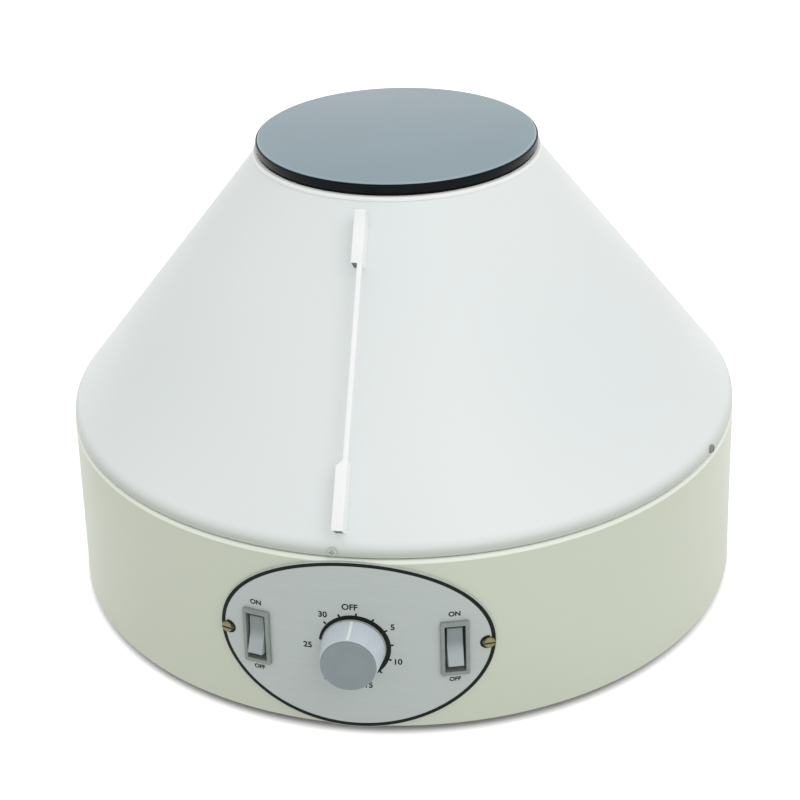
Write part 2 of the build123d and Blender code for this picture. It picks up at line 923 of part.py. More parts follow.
def grip_bar_solid(growth=0.0):
    """The grip's bar in the grip's frame, grown on its hidden sides for the rebate."""
    right = grip_width / 2
    left = right - grip_bar_width - growth
    low = grip_rise - grip_bar_depth - growth
    width = right - left + (far if growth else 0)
    depth = grip_rise - low + (far if growth else 0)
    corner = (Align.MIN, Align.MIN, Align.MIN)
    return Pos(left, 0, low) * Box(width, grip_length, depth, align=corner)


def grip_bar():
    """Slim bar of the grip, held by the two end blocks."""
    bar = grip_bar_solid()
    bar = fillet(bar.edges().filter_by(Axis.Y), grip_round)
    return grip_frame() * bar


def grip_block_lower():
    return grip_block(0, grip_lower_block_length, grip_bevel)


def grip_block_upper():
    return grip_block(grip_length - grip_upper_block_length, grip_upper_block_length, 0)


def grip_screws():
    """Screws from inside the cone into the grip's blocks."""
    seat = Pos(0, 0, -cover_sheet - grip_seat_drop) * Rot(180, 0, 0)
    length = cover_sheet + grip_seat_drop + grip_screw_bite
    return group(grip_frame() * place * seat * screw(small_screw, length) for place in grip_screw_places())


# Hinge

def knuckle_slot(index):
    """Left and right ends of a knuckle along the pin."""
    step = hinge_width / hinge_knuckle_count
    left = -hinge_width / 2 + index * step
    return left + hinge_knuckle_gap / 2, left + step - hinge_knuckle_gap / 2


def across_hinge(points, left, right):
    """Prism of (reach, height) points along the pin, from one end to the other."""
    face = make_face(Polyline(*[(left, reach, height) for reach, height in points], close=True))
    return extrude(face, right - left, dir=(1, 0, 0))


def pin_rod(radius, left, right):
    """Cylinder along the hinge pin's axis."""
    centre = Plane(origin=(left, hinge_pin_reach, hinge_pin_height), z_dir=(1, 0, 0))
    return centre * rod(radius, 0, right - left)


def knuckles(indices, web):
    """Knuckles on the pin's axis, each with the web that joins it to its leaf."""
    joined = None
    for index in indices:
        left, right = knuckle_slot(index)
        piece = pin_rod(hinge_knuckle_radius, left, right) + across_hinge(web, left, right)
        joined = piece if joined is None else joined + piece
    return joined


def leaf_window(bottom, top):
    """Block behind the object that trims a turned skin to a hinge leaf."""
    return Pos(0, far / 2, bottom) * Box(hinge_width, far, top - bottom, align=rise_up)


def hinge_leaf_lower():
    """Leaf on the base wall with the outer and middle knuckles."""
    low = hinge_lower_leaf_bottom
    high = hinge_lower_leaf_top
    leaf = wall_skin(low, high, assembly_gap, hinge_leaf_sheet) & leaf_window(low, high)
    web_low = high - hinge_web_drop - hinge_web_height
    web = [
        (wall_radius(high) - base_wall, web_low),
        (wall_radius(high) + hinge_leaf_sheet, web_low),
        (hinge_pin_reach + hinge_knuckle_radius * 0.7, hinge_pin_height - hinge_knuckle_radius * 0.7),
        (hinge_pin_reach - hinge_knuckle_radius * 0.95, hinge_pin_height),
        (wall_radius(high), high - hinge_web_drop),
        (wall_radius(high) - base_wall, high - hinge_web_drop),
    ]
    leaf += knuckles(range(0, hinge_knuckle_count, 2), web)
    leaf -= base_body(assembly_gap)
    leaf -= pin_rod(hinge_pin_radius + press_clearance, -hinge_width, hinge_width)
    for plane in lower_leaf_screw_planes():
        leaf -= plane * shank_hole(medium_screw, drill, reach=overcut)
    return leaf


def hinge_leaf_upper():
    """Leaf on the cone with the knuckles between those of the lower leaf."""
    low = hinge_upper_leaf_bottom
    high = low + hinge_upper_leaf_height
    web_high = low + hinge_web_height
    skin = turned([
        (cone_radius(low, assembly_gap), low),
        (cone_radius(low, hinge_leaf_sheet), low),
        (cone_radius(high, hinge_leaf_sheet), high),
        (cone_radius(high, assembly_gap), high),
    ])
    leaf = skin & leaf_window(low, high)
    web = [
        (cone_radius(low) - cover_sheet, low),
        (hinge_pin_reach - hinge_knuckle_radius * 0.9, hinge_pin_height - hinge_knuckle_radius * 0.4),
        (hinge_pin_reach + hinge_knuckle_radius * 0.3, hinge_pin_height + hinge_knuckle_radius * 0.95),
        (cone_radius(web_high, hinge_leaf_sheet), web_high),
        (cone_radius(web_high) - cover_sheet, web_high),
    ]
    leaf += knuckles(range(1, hinge_knuckle_count, 2), web)
    leaf -= cover_body(assembly_gap)
    leaf -= pin_rod(hinge_pin_radius + running_clearance, -hinge_width, hinge_width)
    for plane in upper_leaf_screw_planes():
        leaf -= plane * shank_hole(medium_screw, drill, reach=overcut)
    return leaf


def hinge_pin():
    """Pin with a domed head at each end."""
    half = hinge_width / 2 + hinge_pin_overhang
    pin = pin_rod(hinge_pin_radius, -half, half)
    for left in (-half, half - hinge_pin_head_thickness):
        pin += pin_rod(hinge_pin_head_radius, left, left + hinge_pin_head_thickness)
    return pin


def hinge_screws_lower():
    return group(plane * screw(medium_screw, hinge_screw_length) for plane in lower_leaf_screw_planes())


def hinge_screws_upper():
    return group(plane * screw(medium_screw, hinge_screw_length) for plane in upper_leaf_screw_planes())


# Faceplate

def faceplate():
    """Curved oval plate that carries the switches and the timer."""
    low = faceplate_height - faceplate_half_height - overcut
    high = faceplate_height + faceplate_half_height + overcut
    oval = Ellipse(faceplate_half_width, faceplate_half_height)
    gap = 2 * housing_gap
    plate = wall_skin(low, high, assembly_gap, faceplate_sheet) & front_prism(oval, faceplate_height)
    for side in (-1, 1):
        plate -= switch_plane(side) * block(housing_width + gap, housing_height + gap, -drill, drill)
    plate -= knob_plane() * rod(collar_radius + collar_gap, -drill, drill)
    for plane in faceplate_screw_planes():
        plate -= plane * shank_hole(small_screw, drill, reach=overcut)
    return plate


def faceplate_screws():
    """Slotted brass screws at the faceplate's two ends."""
    return group(plane * screw(small_screw, faceplate_screw_length, slots=1) for plane in faceplate_screw_planes())


def switch_housing(side):
    """Housing of a rocker switch, with its bezel on the faceplate and a well for the rocker."""
    bezel = block(bezel_width, bezel_height, 0, bezel_thickness, bezel_round)
    bezel = fillet(bezel.edges().group_by(Axis.Z)[-1], bezel_thickness / 3)
    housing = bezel + block(housing_width, housing_height, -housing_depth, 0)
    well_width = rocker_width + 2 * rocker_side_gap
    well_height = rocker_height + 2 * rocker_end_gap
    well_depth = rocker_depth + rocker_back_gap
    housing -= block(well_width, well_height, -well_depth, bezel_thickness + overcut)
    for row in (-1, 0, 1):
        housing += Pos(0, row * switch_tab_pitch, 0) * Rot(0, 0, 90) * tab(-housing_depth)
    return switch_plane(side) * housing


def rocker(side):
    """Dished rocker with drafted sides, tipped so that its upper end is pressed in."""
    half = rocker_height / 2
    outline = [
        (-half, rocker_dish + rocker_lift),
        (0, rocker_lift),
        (half, rocker_dish + rocker_lift),
        (half - rocker_draft, -rocker_depth),
        (-half + rocker_draft, -rocker_depth),
    ]
    face = make_face(Polyline(*[(-rocker_width / 2, y, z) for y, z in outline], close=True))
    body = extrude(face, rocker_width, dir=(1, 0, 0))
    half_width = rocker_width / 2
    top_half_width = half_width - rocker_side_draft
    section = [
        (-half_width, -rocker_depth),
        (half_width, -rocker_depth),
        (half_width, 0),
        (top_half_width, rocker_dish + rocker_lift),
        (-top_half_width, rocker_dish + rocker_lift),
        (-half_width, 0),
    ]
    across = make_face(Polyline(*[(x, -half, z) for x, z in section], close=True))
    body &= extrude(across, rocker_height, dir=(0, 1, 0))
    body = fillet(body.edges().filter_by(Axis.X).group_by(Axis.Z)[-1], rocker_round)
    pivot = Pos(0, 0, -rocker_pivot_depth)
    tip = pivot * Rot(-rocker_throw / 2, 0, 0) * Pos(0, 0, rocker_pivot_depth)
    return switch_plane(side) * (tip * body)


# Timer

def timer_body():
    """Clockwork timer behind the faceplate, with a threaded collar through it."""
    front = -faceplate_sheet - timer_standoff
    body = block(timer_width, timer_width, front - timer_depth, front, timer_round)
    body += rod(collar_radius, front, collar_rise)
    body += rod(collar_radius + timer_shoulder, front, -faceplate_sheet - timer_standoff / 4)
    body -= rod(spindle_radius + running_clearance, -spindle_bury - spindle_well_gap, far)
    return knob_plane() * body


def timer_nut():
    """Hexagon nut that clamps the timer to the faceplate, hidden by the knob."""
    nut = hexagon(nut_across_flats / 2, nut_thickness)
    return knob_plane() * (nut - rod(collar_radius + assembly_gap, 0, nut_thickness))


def control_knob():
    """Tapered timer knob, hollow behind, with a boss for the spindle."""
    top = knob_gap + knob_length
    floor = knob_gap + knob_hollow_depth
    rim = (knob_face_radius, top)
    knob = turned([
        (0, floor),
        (knob_hollow_radius, floor),
        (knob_hollow_radius, knob_gap),
        (knob_base_radius, knob_gap),
        rim,
        (0, top),
    ], rounds=[(rim, knob_round)])
    knob -= rod(spindle_radius + press_clearance, floor, floor + knob_bore_depth)
    return knob_plane() * knob


def timer_spindle():
    """Steel spindle from the timer up into the knob."""
    top = knob_gap + knob_hollow_depth + knob_bore_depth - spindle_end_gap
    return knob_plane() * rod(spindle_radius, -spindle_bury, top)


# Power inlet

def power_inlet():
    """Mains inlet: a flange on the pad, a body through it and the recess for a plug."""
    inlet = block(inlet_flange_width, inlet_flange_height, 0, inlet_flange_thickness, inlet_flange_round)
    inlet += block(inlet_body_width, inlet_body_height, -inlet_body_depth, 0)
    floor = inlet_flange_thickness - inlet_recess_depth
    inlet -= block(inlet_recess_width, inlet_recess_height, floor, inlet_flange_thickness, inlet_recess_round)
    for place in inlet_pin_places():
        inlet -= place * block(inlet_pin_width, inlet_pin_height, -inlet_body_depth, floor)
    for place in inlet_screw_places():
        inlet -= place * shank_hole(small_screw, drill, reach=overcut)
    return inlet_plane() * inlet


def inlet_pin_places():
    half = inlet_pin_pitch / 2
    return [Pos(-half, -inlet_earth_rise / 2, 0), Pos(half, -inlet_earth_rise / 2, 0), Pos(0, inlet_earth_rise / 2, 0)]


def inlet_pins():
    """Three flat pins, each running through to a tab behind the body."""
    front = inlet_flange_thickness - inlet_recess_depth + inlet_pin_reach
    back = -inlet_body_depth - tab_length
    pin = block(inlet_pin_width - assembly_gap, inlet_pin_height - assembly_gap, back, front)
    return group(inlet_plane() * place * pin for place in inlet_pin_places())


def inlet_screws():
    return group(inlet_plane() * place * screw(small_screw, inlet_screw_length) for place in inlet_screw_places())


# Motor

def motor_isolators():
    """Rubber buffers under the motor flange."""
    buffer = rod(isolator_radius, plate_top, motor_flange_bottom)
    buffer -= rod(large_screw[2] + screw_clearance, plate_top, motor_flange_bottom)
    return group(place * buffer for place in isolator_places())


def isolator_bolts():
    """Bolts from under the base plate through the buffers, with nuts on the motor flange."""
    head_down = Pos(0, 0, plate_bottom) * Rot(180, 0, 0)
    bolt = head_down * screw(large_screw, motor_bottom + nut_height + nut_thread - plate_bottom)
    bolt += Pos(0, 0, motor_bottom) * hexagon(nut_inradius, nut_height)
    return group(place * bolt for place in isolator_places())


def motor_flange():
    """Square plate that carries the motor on its buffers."""
    side = isolator_pitch + 2 * motor_flange_margin
    plate = block(side, side, motor_flange_bottom, motor_bottom, motor_flange_round)
    plate -= rod(shaft_opening_radius, 0, far)
    for place in isolator_places():
        plate -= place * shank_hole(large_screw, 0, reach=far)
    for place in motor_bolt_places():
        plate -= place * shank_hole(medium_screw, overcut, reach=motor_flange_thickness + overcut)
    return plate


def motor_bolts():
    """Bolts up through the flange into the motor's lower bell."""
    length = motor_flange_thickness + motor_bolt_bite
    return group(place * Rot(180, 0, 0) * screw(medium_screw, length) for place in motor_bolt_places())


def motor_bottom_bell():
    """Lower end bell with the lower bearing's seat."""
    seat = can_bottom - bearing_width - bearing_lip
    bell = turned([
        (shaft_opening_radius, motor_bottom),
        (motor_radius, motor_bottom),
        (motor_radius, can_bottom),
        (bearing_outer_radius, can_bottom),
        (bearing_outer_radius, seat),
        (shaft_opening_radius, seat),
    ])
    for place in motor_bolt_places():
        bell -= place * shank_hole(medium_screw, 0, reach=motor_flange_thickness + motor_bolt_bite + screw_point_gap)
    return bell


def motor_can():
    """Drawn tube round the stator."""
    return rod(motor_radius, can_bottom, can_top) - rod(motor_radius - motor_can_wall, can_bottom, can_top)


def upper_seat():
    """Height of the upper bearing's lower face."""
    return top_bell_top - bearing_lip - bearing_width


def motor_top_bell():
    """Upper end bell with a boss round the upper bearing."""
    web_top = can_top + motor_top_bell_web
    seat = upper_seat()
    return turned([
        (bearing_outer_radius, can_top),
        (motor_radius, can_top),
        (motor_radius, web_top),
        (motor_boss_radius, web_top),
        (motor_boss_radius, top_bell_top),
        (shaft_opening_radius, top_bell_top),
        (shaft_opening_radius, seat + bearing_width),
        (bearing_outer_radius, seat + bearing_width),
    ])


def bearing(low):
    """Ball bearing as a ring with shallow shields."""
    inner = bearing_inner_radius + running_clearance
    outer = bearing_outer_radius
    near = inner + bearing_race
    rim = outer - bearing_race
    high = low + bearing_width
    dip = bearing_shield_dip
    return turned([
        (inner, low), (near, low), (near, low + dip), (rim, low + dip), (rim, low), (outer, low),
        (outer, high), (rim, high), (rim, high - dip), (near, high - dip), (near, high), (inner, high),
    ])


def upper_bearing():
    return bearing(upper_seat())


def lower_bearing():
    return bearing(can_bottom - bearing_width)


def stator_span():
    """Bottom and top of the stator, centred in the can."""
    middle = (can_bottom + can_top) / 2
    return middle - stator_length / 2, middle + stator_length / 2


def motor_stator():
    """Laminated stator ring."""
    low, high = stator_span()
    return rod(motor_radius - motor_can_wall, low, high) - rod(stator_bore_radius, low, high)


def stator_coils():
    """Wound end turns above and below the stator."""
    low, high = stator_span()
    coils = []
    for start in (low - coil_length, high):
        end = start + coil_length
        corners = [
            (coil_inner_radius, start), (coil_outer_radius, start),
            (coil_outer_radius, end), (coil_inner_radius, end),
        ]
        coils.append(turned(corners, rounds=[(corner, coil_round) for corner in corners]))
    return group(coils)


def motor_rotor():
    """Squirrel-cage rotor on the shaft, with its end rings."""
    low, high = stator_span()
    outer = stator_bore_radius - air_gap
    core = rod(outer, low, high)
    core += rod(outer - rotor_end_ring_inset, low - rotor_end_ring, high + rotor_end_ring)
    return core - rod(shaft_middle_radius + press_clearance, 0, far)


def motor_shaft():
    """Stepped shaft from below the lower bearing up to the rotor nut."""
    low_shoulder = can_bottom + shaft_shoulder_gap
    high_shoulder = upper_seat() - shaft_shoulder_gap
    tail = motor_bottom - shaft_tail
    return turned([
        (0, tail),
        (shaft_bearing_radius, tail),
        (shaft_bearing_radius, low_shoulder),
        (shaft_middle_radius, low_shoulder),
        (shaft_middle_radius, high_shoulder),
        (shaft_bearing_radius, high_shoulder),
        (shaft_bearing_radius, hub_bottom),
        (shaft_top_radius, hub_bottom),
        (shaft_top_radius, nut_top - nut_thread_cover),
        (0, nut_top - nut_thread_cover),
    ])


def capacitor_place():
    """Frame of the run capacitor, which lies on the base plate with Z along its length."""
    plane = surface_plane(capacitor_azimuth, capacitor_reach, plate_top + capacitor_radius, 0)
    return plane * Rot(0, 90, 0)


def run_capacitor():
    """Run capacitor with its two tabs."""
    half = capacitor_length / 2
    can = rod(capacitor_radius, -half, half)
    can = fillet(can.edges().filter_by(GeomType.CIRCLE), capacitor_round)
    for side in (-1, 1):
        can += Pos(0, side * capacitor_tab_pitch / 2, 0) * tab(half + tab_length)
    return capacitor_place() * can


# Rotor

def rotor_line():
    """Upper face of the rotor sheet, from under the sleeves' feet up to the nut."""
    return [
        (rotor_foot_radius, rotor_foot_height),
        (rotor_shoulder_radius, rotor_top),
        (shaft_top_radius + assembly_gap, rotor_top),
    ]


def rotor_hub():
    """Hub on the shaft's upper shoulder, with the flange under the rotor sheet."""
    bore = shaft_top_radius + press_clearance
    flange_radius = rotor_shoulder_radius - 2 * rotor_sheet
    flange_low = hub_top - hub_flange_thickness
    neck = (hub_radius, flange_low)
    return turned([
        (bore, hub_bottom),
        (hub_radius, hub_bottom),
        neck,
        (flange_radius, flange_low),
        (flange_radius, hub_top),
        (bore, hub_top),
    ], rounds=[(neck, hub_fillet)])


def rotor_cone():
    """Spun cone under the sleeves, level at the top where the nut clamps it to the hub."""
    return turned_sheet(rotor_line(), rotor_sheet)


def tube_sleeves():
    """Steel sleeves that each hold one butyrometer, with a narrower well in the closed foot."""
    sleeve = rod(sleeve_outer_radius, -cushion_thickness - sleeve_floor, sleeve_length)
    sleeve -= rod(sleeve_bore_radius, 0, sleeve_length)
    sleeve -= rod(sleeve_bore_radius - cushion_step, -cushion_thickness, overcut)
    return group(frame * sleeve for frame in sleeve_frames())


def sleeve_cushions():
    """Rubber discs in the wells at the sleeves' feet."""
    cushion = rod(sleeve_bore_radius - cushion_step - cushion_gap, -cushion_thickness, 0)
    return group(frame * cushion for frame in sleeve_frames())


def sleeve_hoop():
    """Conical hoop outside the sleeves, welded to each of them."""
    outer = sheet_offset + hoop_sheet
    end = hoop_start + hoop_width
    return turned([
        sleeve_point(hoop_start, sheet_offset),
        sleeve_point(hoop_start, outer),
        sleeve_point(end, outer),
        sleeve_point(end, sheet_offset),
    ])


def rotor_nut():
    """Domed nut that clamps the rotor sheet to the hub."""
    low = rotor_top
    hex_low = low + nut_flange_thickness
    hex_top = hex_low + nut_hex_height
    nut = rod(nut_flange_radius, low, hex_low)
    nut += Pos(0, 0, hex_low) * hexagon(nut_hex_across / 2, nut_hex_height)
    crown_radius = (nut_dome_radius ** 2 + nut_dome_height ** 2) / (2 * nut_dome_height)
    crown = Pos(0, 0, nut_top - crown_radius) * Sphere(crown_radius)
    nut += crown & rod(far, hex_top, far)
    return nut - rod(shaft_top_radius + press_clearance, low, nut_top - nut_thread_cover + screw_point_gap)


parts = {
    "base_shell": base_shell,
    "base_plate": base_plate,
    "base_plate_screws": base_plate_screws,
    "rubber_feet": rubber_feet,
    "foot_screws": foot_screws,
    "chamber_bowl": chamber_bowl,
    "bowl_screws": bowl_screws,
    "shaft_seal": shaft_seal,
    "lid_seal": lid_seal,
    "heater_ring": heater_ring,
    "heater_clips": heater_clips,
    "thermostat": thermostat,
    "faceplate": faceplate,
    "faceplate_screws": faceplate_screws,
    "switch_housing_left": lambda: switch_housing(-1),
    "switch_housing_right": lambda: switch_housing(1),
    "rocker_left": lambda: rocker(-1),
    "rocker_right": lambda: rocker(1),
    "timer_body": timer_body,
    "timer_nut": timer_nut,
    "timer_spindle": timer_spindle,
    "control_knob": control_knob,
    "power_inlet": power_inlet,
    "inlet_pins": inlet_pins,
    "inlet_screws": inlet_screws,
    "hinge_leaf_lower": hinge_leaf_lower,
    "hinge_screws_lower": hinge_screws_lower,
    "hinge_pin": hinge_pin,
    "hinge_leaf_upper": hinge_leaf_upper,
    "hinge_screws_upper": hinge_screws_upper,
    "cover_shell": cover_shell,
    "cover_ring": cover_ring,
    "cover_ring_screws": cover_ring_screws,
    "window_gasket": window_gasket,
    "window_plate": window_plate,
    "window_screws": window_screws,
    "grip_bar": grip_bar,
    "grip_block_upper": grip_block_upper,
    "grip_block_lower": grip_block_lower,
    "grip_screws": grip_screws,
    "motor_isolators": motor_isolators,
    "isolator_bolts": isolator_bolts,
    "motor_flange": motor_flange,
    "motor_bolts": motor_bolts,
    "motor_bottom_bell": motor_bottom_bell,
    "motor_can": motor_can,
    "motor_top_bell": motor_top_bell,
    "motor_stator": motor_stator,
    "stator_coils": stator_coils,
    "upper_bearing": upper_bearing,
    "lower_bearing": lower_bearing,
    "run_capacitor": run_capacitor,
    "motor_shaft": motor_shaft,
    "motor_rotor": motor_rotor,
    "rotor_hub": rotor_hub,
    "rotor_cone": rotor_cone,
    "tube_sleeves": tube_sleeves,
    "sleeve_cushions": sleeve_cushions,
    "sleeve_hoop": sleeve_hoop,
    "rotor_nut": rotor_nut,
}

os.makedirs("parts", exist_ok=True)
for name, make in parts.items():
    export_step(make(), f"parts/{name}.step")
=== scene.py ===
# %% [markdown]
# # A milk fat centrifuge, dressed in Blender
# The real instrument stands on a laboratory bench and spins eight glass butyrometers until the fat
# of a milk sample gathers in their necks. It has a round cast base with a curved grey faceplate,
# and a white cone cover with a dark window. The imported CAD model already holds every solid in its
# right place, so this notebook keeps that frame and works on what the eye meets: smooth surfaces
# for the pieces that show most, printed marks, and a finish for every part.

# %% Load the frame
from math import cos, pi, radians, sin

import bmesh
import bpy
import numpy as np
from mathutils import Matrix, Vector


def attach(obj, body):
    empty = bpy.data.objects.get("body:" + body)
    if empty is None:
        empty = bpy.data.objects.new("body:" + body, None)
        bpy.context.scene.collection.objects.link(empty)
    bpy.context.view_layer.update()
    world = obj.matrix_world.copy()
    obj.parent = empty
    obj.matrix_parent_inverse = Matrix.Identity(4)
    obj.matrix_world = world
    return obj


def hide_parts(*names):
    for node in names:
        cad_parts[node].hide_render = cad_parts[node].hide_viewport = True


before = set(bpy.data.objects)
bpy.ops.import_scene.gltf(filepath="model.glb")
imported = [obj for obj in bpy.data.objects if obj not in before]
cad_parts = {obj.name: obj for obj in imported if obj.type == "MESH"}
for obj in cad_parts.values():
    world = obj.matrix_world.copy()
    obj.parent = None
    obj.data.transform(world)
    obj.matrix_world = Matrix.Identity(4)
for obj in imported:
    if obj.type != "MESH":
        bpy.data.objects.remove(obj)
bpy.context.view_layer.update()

mm = 0.001
print("parts in the frame:", len(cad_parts))

# %% [markdown]
# ## Camera
# The photograph was taken from a little to the right of the faceplate, looking down on the window.
# The place, the tilt and the lens come from fitting a pinhole camera to the rims of the base, the
# cone and the window. A camera is turned by a matrix whose columns are its right, up and backward
# directions, which is exact where three separate angles would be easy to mix up.

# %% Camera
photo_pixels = 800
sensor_width = 36.0
camera_reach = 907.12 * mm
camera_height = 569.72 * mm
camera_turn = radians(8.65)
camera_dip = radians(27.937)
camera_yaw = radians(-0.1342)
camera_roll = radians(-1.6295)
focal_pixels = 1863.35
near_clip = 0.01

forward = Vector((sin(camera_yaw) * cos(camera_dip), cos(camera_yaw) * cos(camera_dip),
                  -sin(camera_dip)))
level_right = Vector((cos(camera_yaw), -sin(camera_yaw), 0))
level_up = level_right.cross(forward)
right = cos(camera_roll) * level_right + sin(camera_roll) * level_up
up = cos(camera_roll) * level_up - sin(camera_roll) * level_right
turn = Matrix.Rotation(camera_turn, 4, "Z")

camera_data = bpy.data.cameras.new("bench_camera")
camera = bpy.data.objects.new("bench_camera", camera_data)
bpy.context.scene.collection.objects.link(camera)
facing = Matrix((right, up, -forward)).transposed().to_4x4()
camera.matrix_world = turn @ Matrix.Translation((0, -camera_reach, camera_height)) @ facing
camera_data.sensor_width = sensor_width
camera_data.lens = focal_pixels / photo_pixels * sensor_width
camera_data.clip_start = near_clip
bpy.context.scene.camera = camera
camera_at = tuple(round(value, 4) for value in camera.matrix_world.translation)
print("camera at", camera_at, "lens", round(camera_data.lens, 2))

# %% [markdown]
# ## Node helpers
# Every finish here is a small graph of shader nodes. Setting one up by hand takes a line for each
# node, each value and each link, so two helpers do it: one adds a node and wires its inputs, and
# one starts a new finish with its Principled shader. Colours are written as the 0 to 255 numbers
# that a colour picker shows, and turned into the linear light that a shader works in.

# %% Node helpers


def linear(red, green, blue):
    """Picker colour as linear light: below 0.04045 a division by 12.92, above it a power of 2.4."""
    share = np.array([red, green, blue]) / 255
    light = np.where(share <= 0.04045, share / 12.92, ((share + 0.055) / 1.055) ** 2.4)
    return tuple(float(value) for value in light) + (1.0,)


def add_node(tree, kind, inputs=None, **settings):
    """New node with its settings, and with each input set to a value or linked to an output."""
    node = tree.nodes.new(kind)
    for name, value in settings.items():
        setattr(node, name, value)
    for name, value in (inputs or {}).items():
        if isinstance(value, bpy.types.NodeSocket):
            tree.links.new(value, node.inputs[name])
        else:
            node.inputs[name].default_value = value
    return node


def new_finish(name, roughness, metallic=0.0, specular=0.5):
    """Material with a Principled shader, whose steady values sit on its own sockets."""
    finish = bpy.data.materials.new(name)
    finish.use_nodes = True
    shader = finish.node_tree.nodes["Principled BSDF"]
    shader.inputs["Roughness"].default_value = roughness
    shader.inputs["Metallic"].default_value = metallic
    shader.inputs["Specular IOR Level"].default_value = specular
    return finish, finish.node_tree, shader


print("picker grey 128 is linear", round(linear(128, 128, 128)[0], 4))

# %% [markdown]
# ## Floor, backdrop and light
# The photograph shows the instrument cut out on white, with only a soft dark edge where it meets
# the ground. A floor that is simply white would either turn grey or make the lamps far too strong.
# So the floor adds a light of its own that only the camera and reflections see. That light fades
# out over a ring at the base's foot and is gone under it, so the dark edge there is partly real
# contact shadow and partly painted shadow, set by where the glow fades. The world is white to the
# eye and dimmer as a light.

# %% Floor
floor_half = 6.0
floor_shade = 0.8
floor_glow = 0.7
# The glow fades between these two radii: painted shadow at the base's foot.
painted_shadow_glow = 0.0
painted_shadow_inner = 175 * mm
painted_shadow_outer = 184 * mm


def seen_directly(tree):
    """1 for rays from the camera, a gloss or through glass, and 0 for rays that gather light."""
    path = add_node(tree, "ShaderNodeLightPath")
    gloss = add_node(tree, "ShaderNodeMath", {
        0: path.outputs["Is Camera Ray"], 1: path.outputs["Is Glossy Ray"]}, operation="MAXIMUM")
    both = add_node(tree, "ShaderNodeMath", {
        0: gloss.outputs[0], 1: path.outputs["Is Transmission Ray"]}, operation="MAXIMUM")
    return both.outputs[0]


def floor_finish():
    """Matt white whose glow for the camera rises from under the base to the open floor; where it
    rises it paints the contact shadow's edge.
    """
    finish, tree, shader = new_finish("bench_white", 0.9, specular=0.0)
    shader.inputs["Base Color"].default_value = (floor_shade, floor_shade, floor_shade, 1)
    place = add_node(tree, "ShaderNodeTexCoord")
    reach = add_node(tree, "ShaderNodeVectorMath", {0: place.outputs["Object"]}, operation="LENGTH")
    glow = add_node(tree, "ShaderNodeMapRange", {
        "Value": reach.outputs["Value"], "From Min": painted_shadow_inner, "From Max": painted_shadow_outer,
        "To Min": painted_shadow_glow, "To Max": floor_glow}, interpolation_type="SMOOTHSTEP")
    strength = add_node(tree, "ShaderNodeMath", {
        0: glow.outputs["Result"], 1: seen_directly(tree)}, operation="MULTIPLY")
    shader.inputs["Emission Color"].default_value = (1, 1, 1, 1)
    tree.links.new(strength.outputs[0], shader.inputs["Emission Strength"])
    return finish


floor_mesh = bpy.data.meshes.new("bench_top")
floor_corners = [(-floor_half, -floor_half, 0), (floor_half, -floor_half, 0),
                 (floor_half, floor_half, 0), (-floor_half, floor_half, 0)]
floor_mesh.from_pydata(floor_corners, [], [(0, 1, 2, 3)])
floor_mesh.materials.append(floor_finish())
floor = bpy.data.objects.new("bench_top", floor_mesh)
bpy.context.scene.collection.objects.link(floor)
print("floor", 2 * floor_half, "m wide, full glow from", round(painted_shadow_outer / mm), "mm out")

# %% Backdrop and light
sky_strength = 0.8
key_power = 9.6
key_size = 1.3
key_place = Vector((1.05, -1.43, 1.75))
key_target = Vector((0, 0, 0.12))

world = bpy.data.worlds.new("white_room")
bpy.context.scene.world = world
world.use_nodes = True
room = world.node_tree
room_strength = add_node(room, "ShaderNodeMapRange", {
    "Value": seen_directly(room), "To Min": sky_strength, "To Max": 1.0})
room.links.new(room_strength.outputs["Result"], room.nodes["Background"].inputs["Strength"])
room.nodes["Background"].inputs["Color"].default_value = (1, 1, 1, 1)

key_data = bpy.data.lights.new("soft_key", "AREA")
key_data.energy = key_power
key_data.size = key_size
key = bpy.data.objects.new("soft_key", key_data)
key_facing = (key_target - key_place).to_track_quat("-Z", "Y").to_matrix().to_4x4()
key.matrix_world = Matrix.Translation(key_place) @ key_facing
bpy.context.scene.collection.objects.link(key)
bpy.context.scene.view_settings.view_transform = "Standard"
print("key lamp", key_power, "W at", round((key_place - key_target).length, 2), "m")

# %% [markdown]
# ## Finishes
# The instrument has painted castings, moulded switches, an anodised plate, rubber, and inside it
# spun, drawn and cast metal. Pictures could be wrapped over the parts, but they need unwrapping and
# show their pixels close up. Noise and wave nodes on Object coordinates work on any part at its
# true size, because one unit of Object space is one metre. So a noise scale of 900 gives grains of
# about a millimetre. Each family of finishes is one function, and each finish is one call of it.

# %% Patterns for finishes
noise_low = 0.3
noise_high = 0.7


def object_place(tree, stretch=(1, 1, 1)):
    """Object coordinates, optionally stretched along an axis so that a noise becomes a streak."""
    place = add_node(tree, "ShaderNodeTexCoord")
    if tuple(stretch) == (1, 1, 1):
        return place.outputs["Object"]
    scaled = add_node(tree, "ShaderNodeMapping", {
        "Vector": place.outputs["Object"], "Scale": stretch})
    return scaled.outputs["Vector"]


def object_axes(tree):
    """Object coordinates taken apart into X, Y and Z."""
    return add_node(tree, "ShaderNodeSeparateXYZ", {0: object_place(tree)}).outputs


def axis_reach(tree):
    """Distance from the upright axis: the length of X and Y alone."""
    axes = object_axes(tree)
    flat = add_node(tree, "ShaderNodeCombineXYZ", {"X": axes["X"], "Y": axes["Y"]})
    reach = add_node(tree, "ShaderNodeVectorMath", {0: flat.outputs[0]}, operation="LENGTH")
    return reach.outputs["Value"]


def smooth_share(tree, value, start, end):
    """0 up to one value, 1 from another on, and a smooth step between them."""
    share = add_node(tree, "ShaderNodeMapRange", {
        "Value": value, "From Min": start, "From Max": end}, interpolation_type="SMOOTHSTEP")
    return share.outputs["Result"]


def height_share(tree, start, end):
    """Smooth step from one height to another."""
    return smooth_share(tree, object_axes(tree)["Z"], start, end)


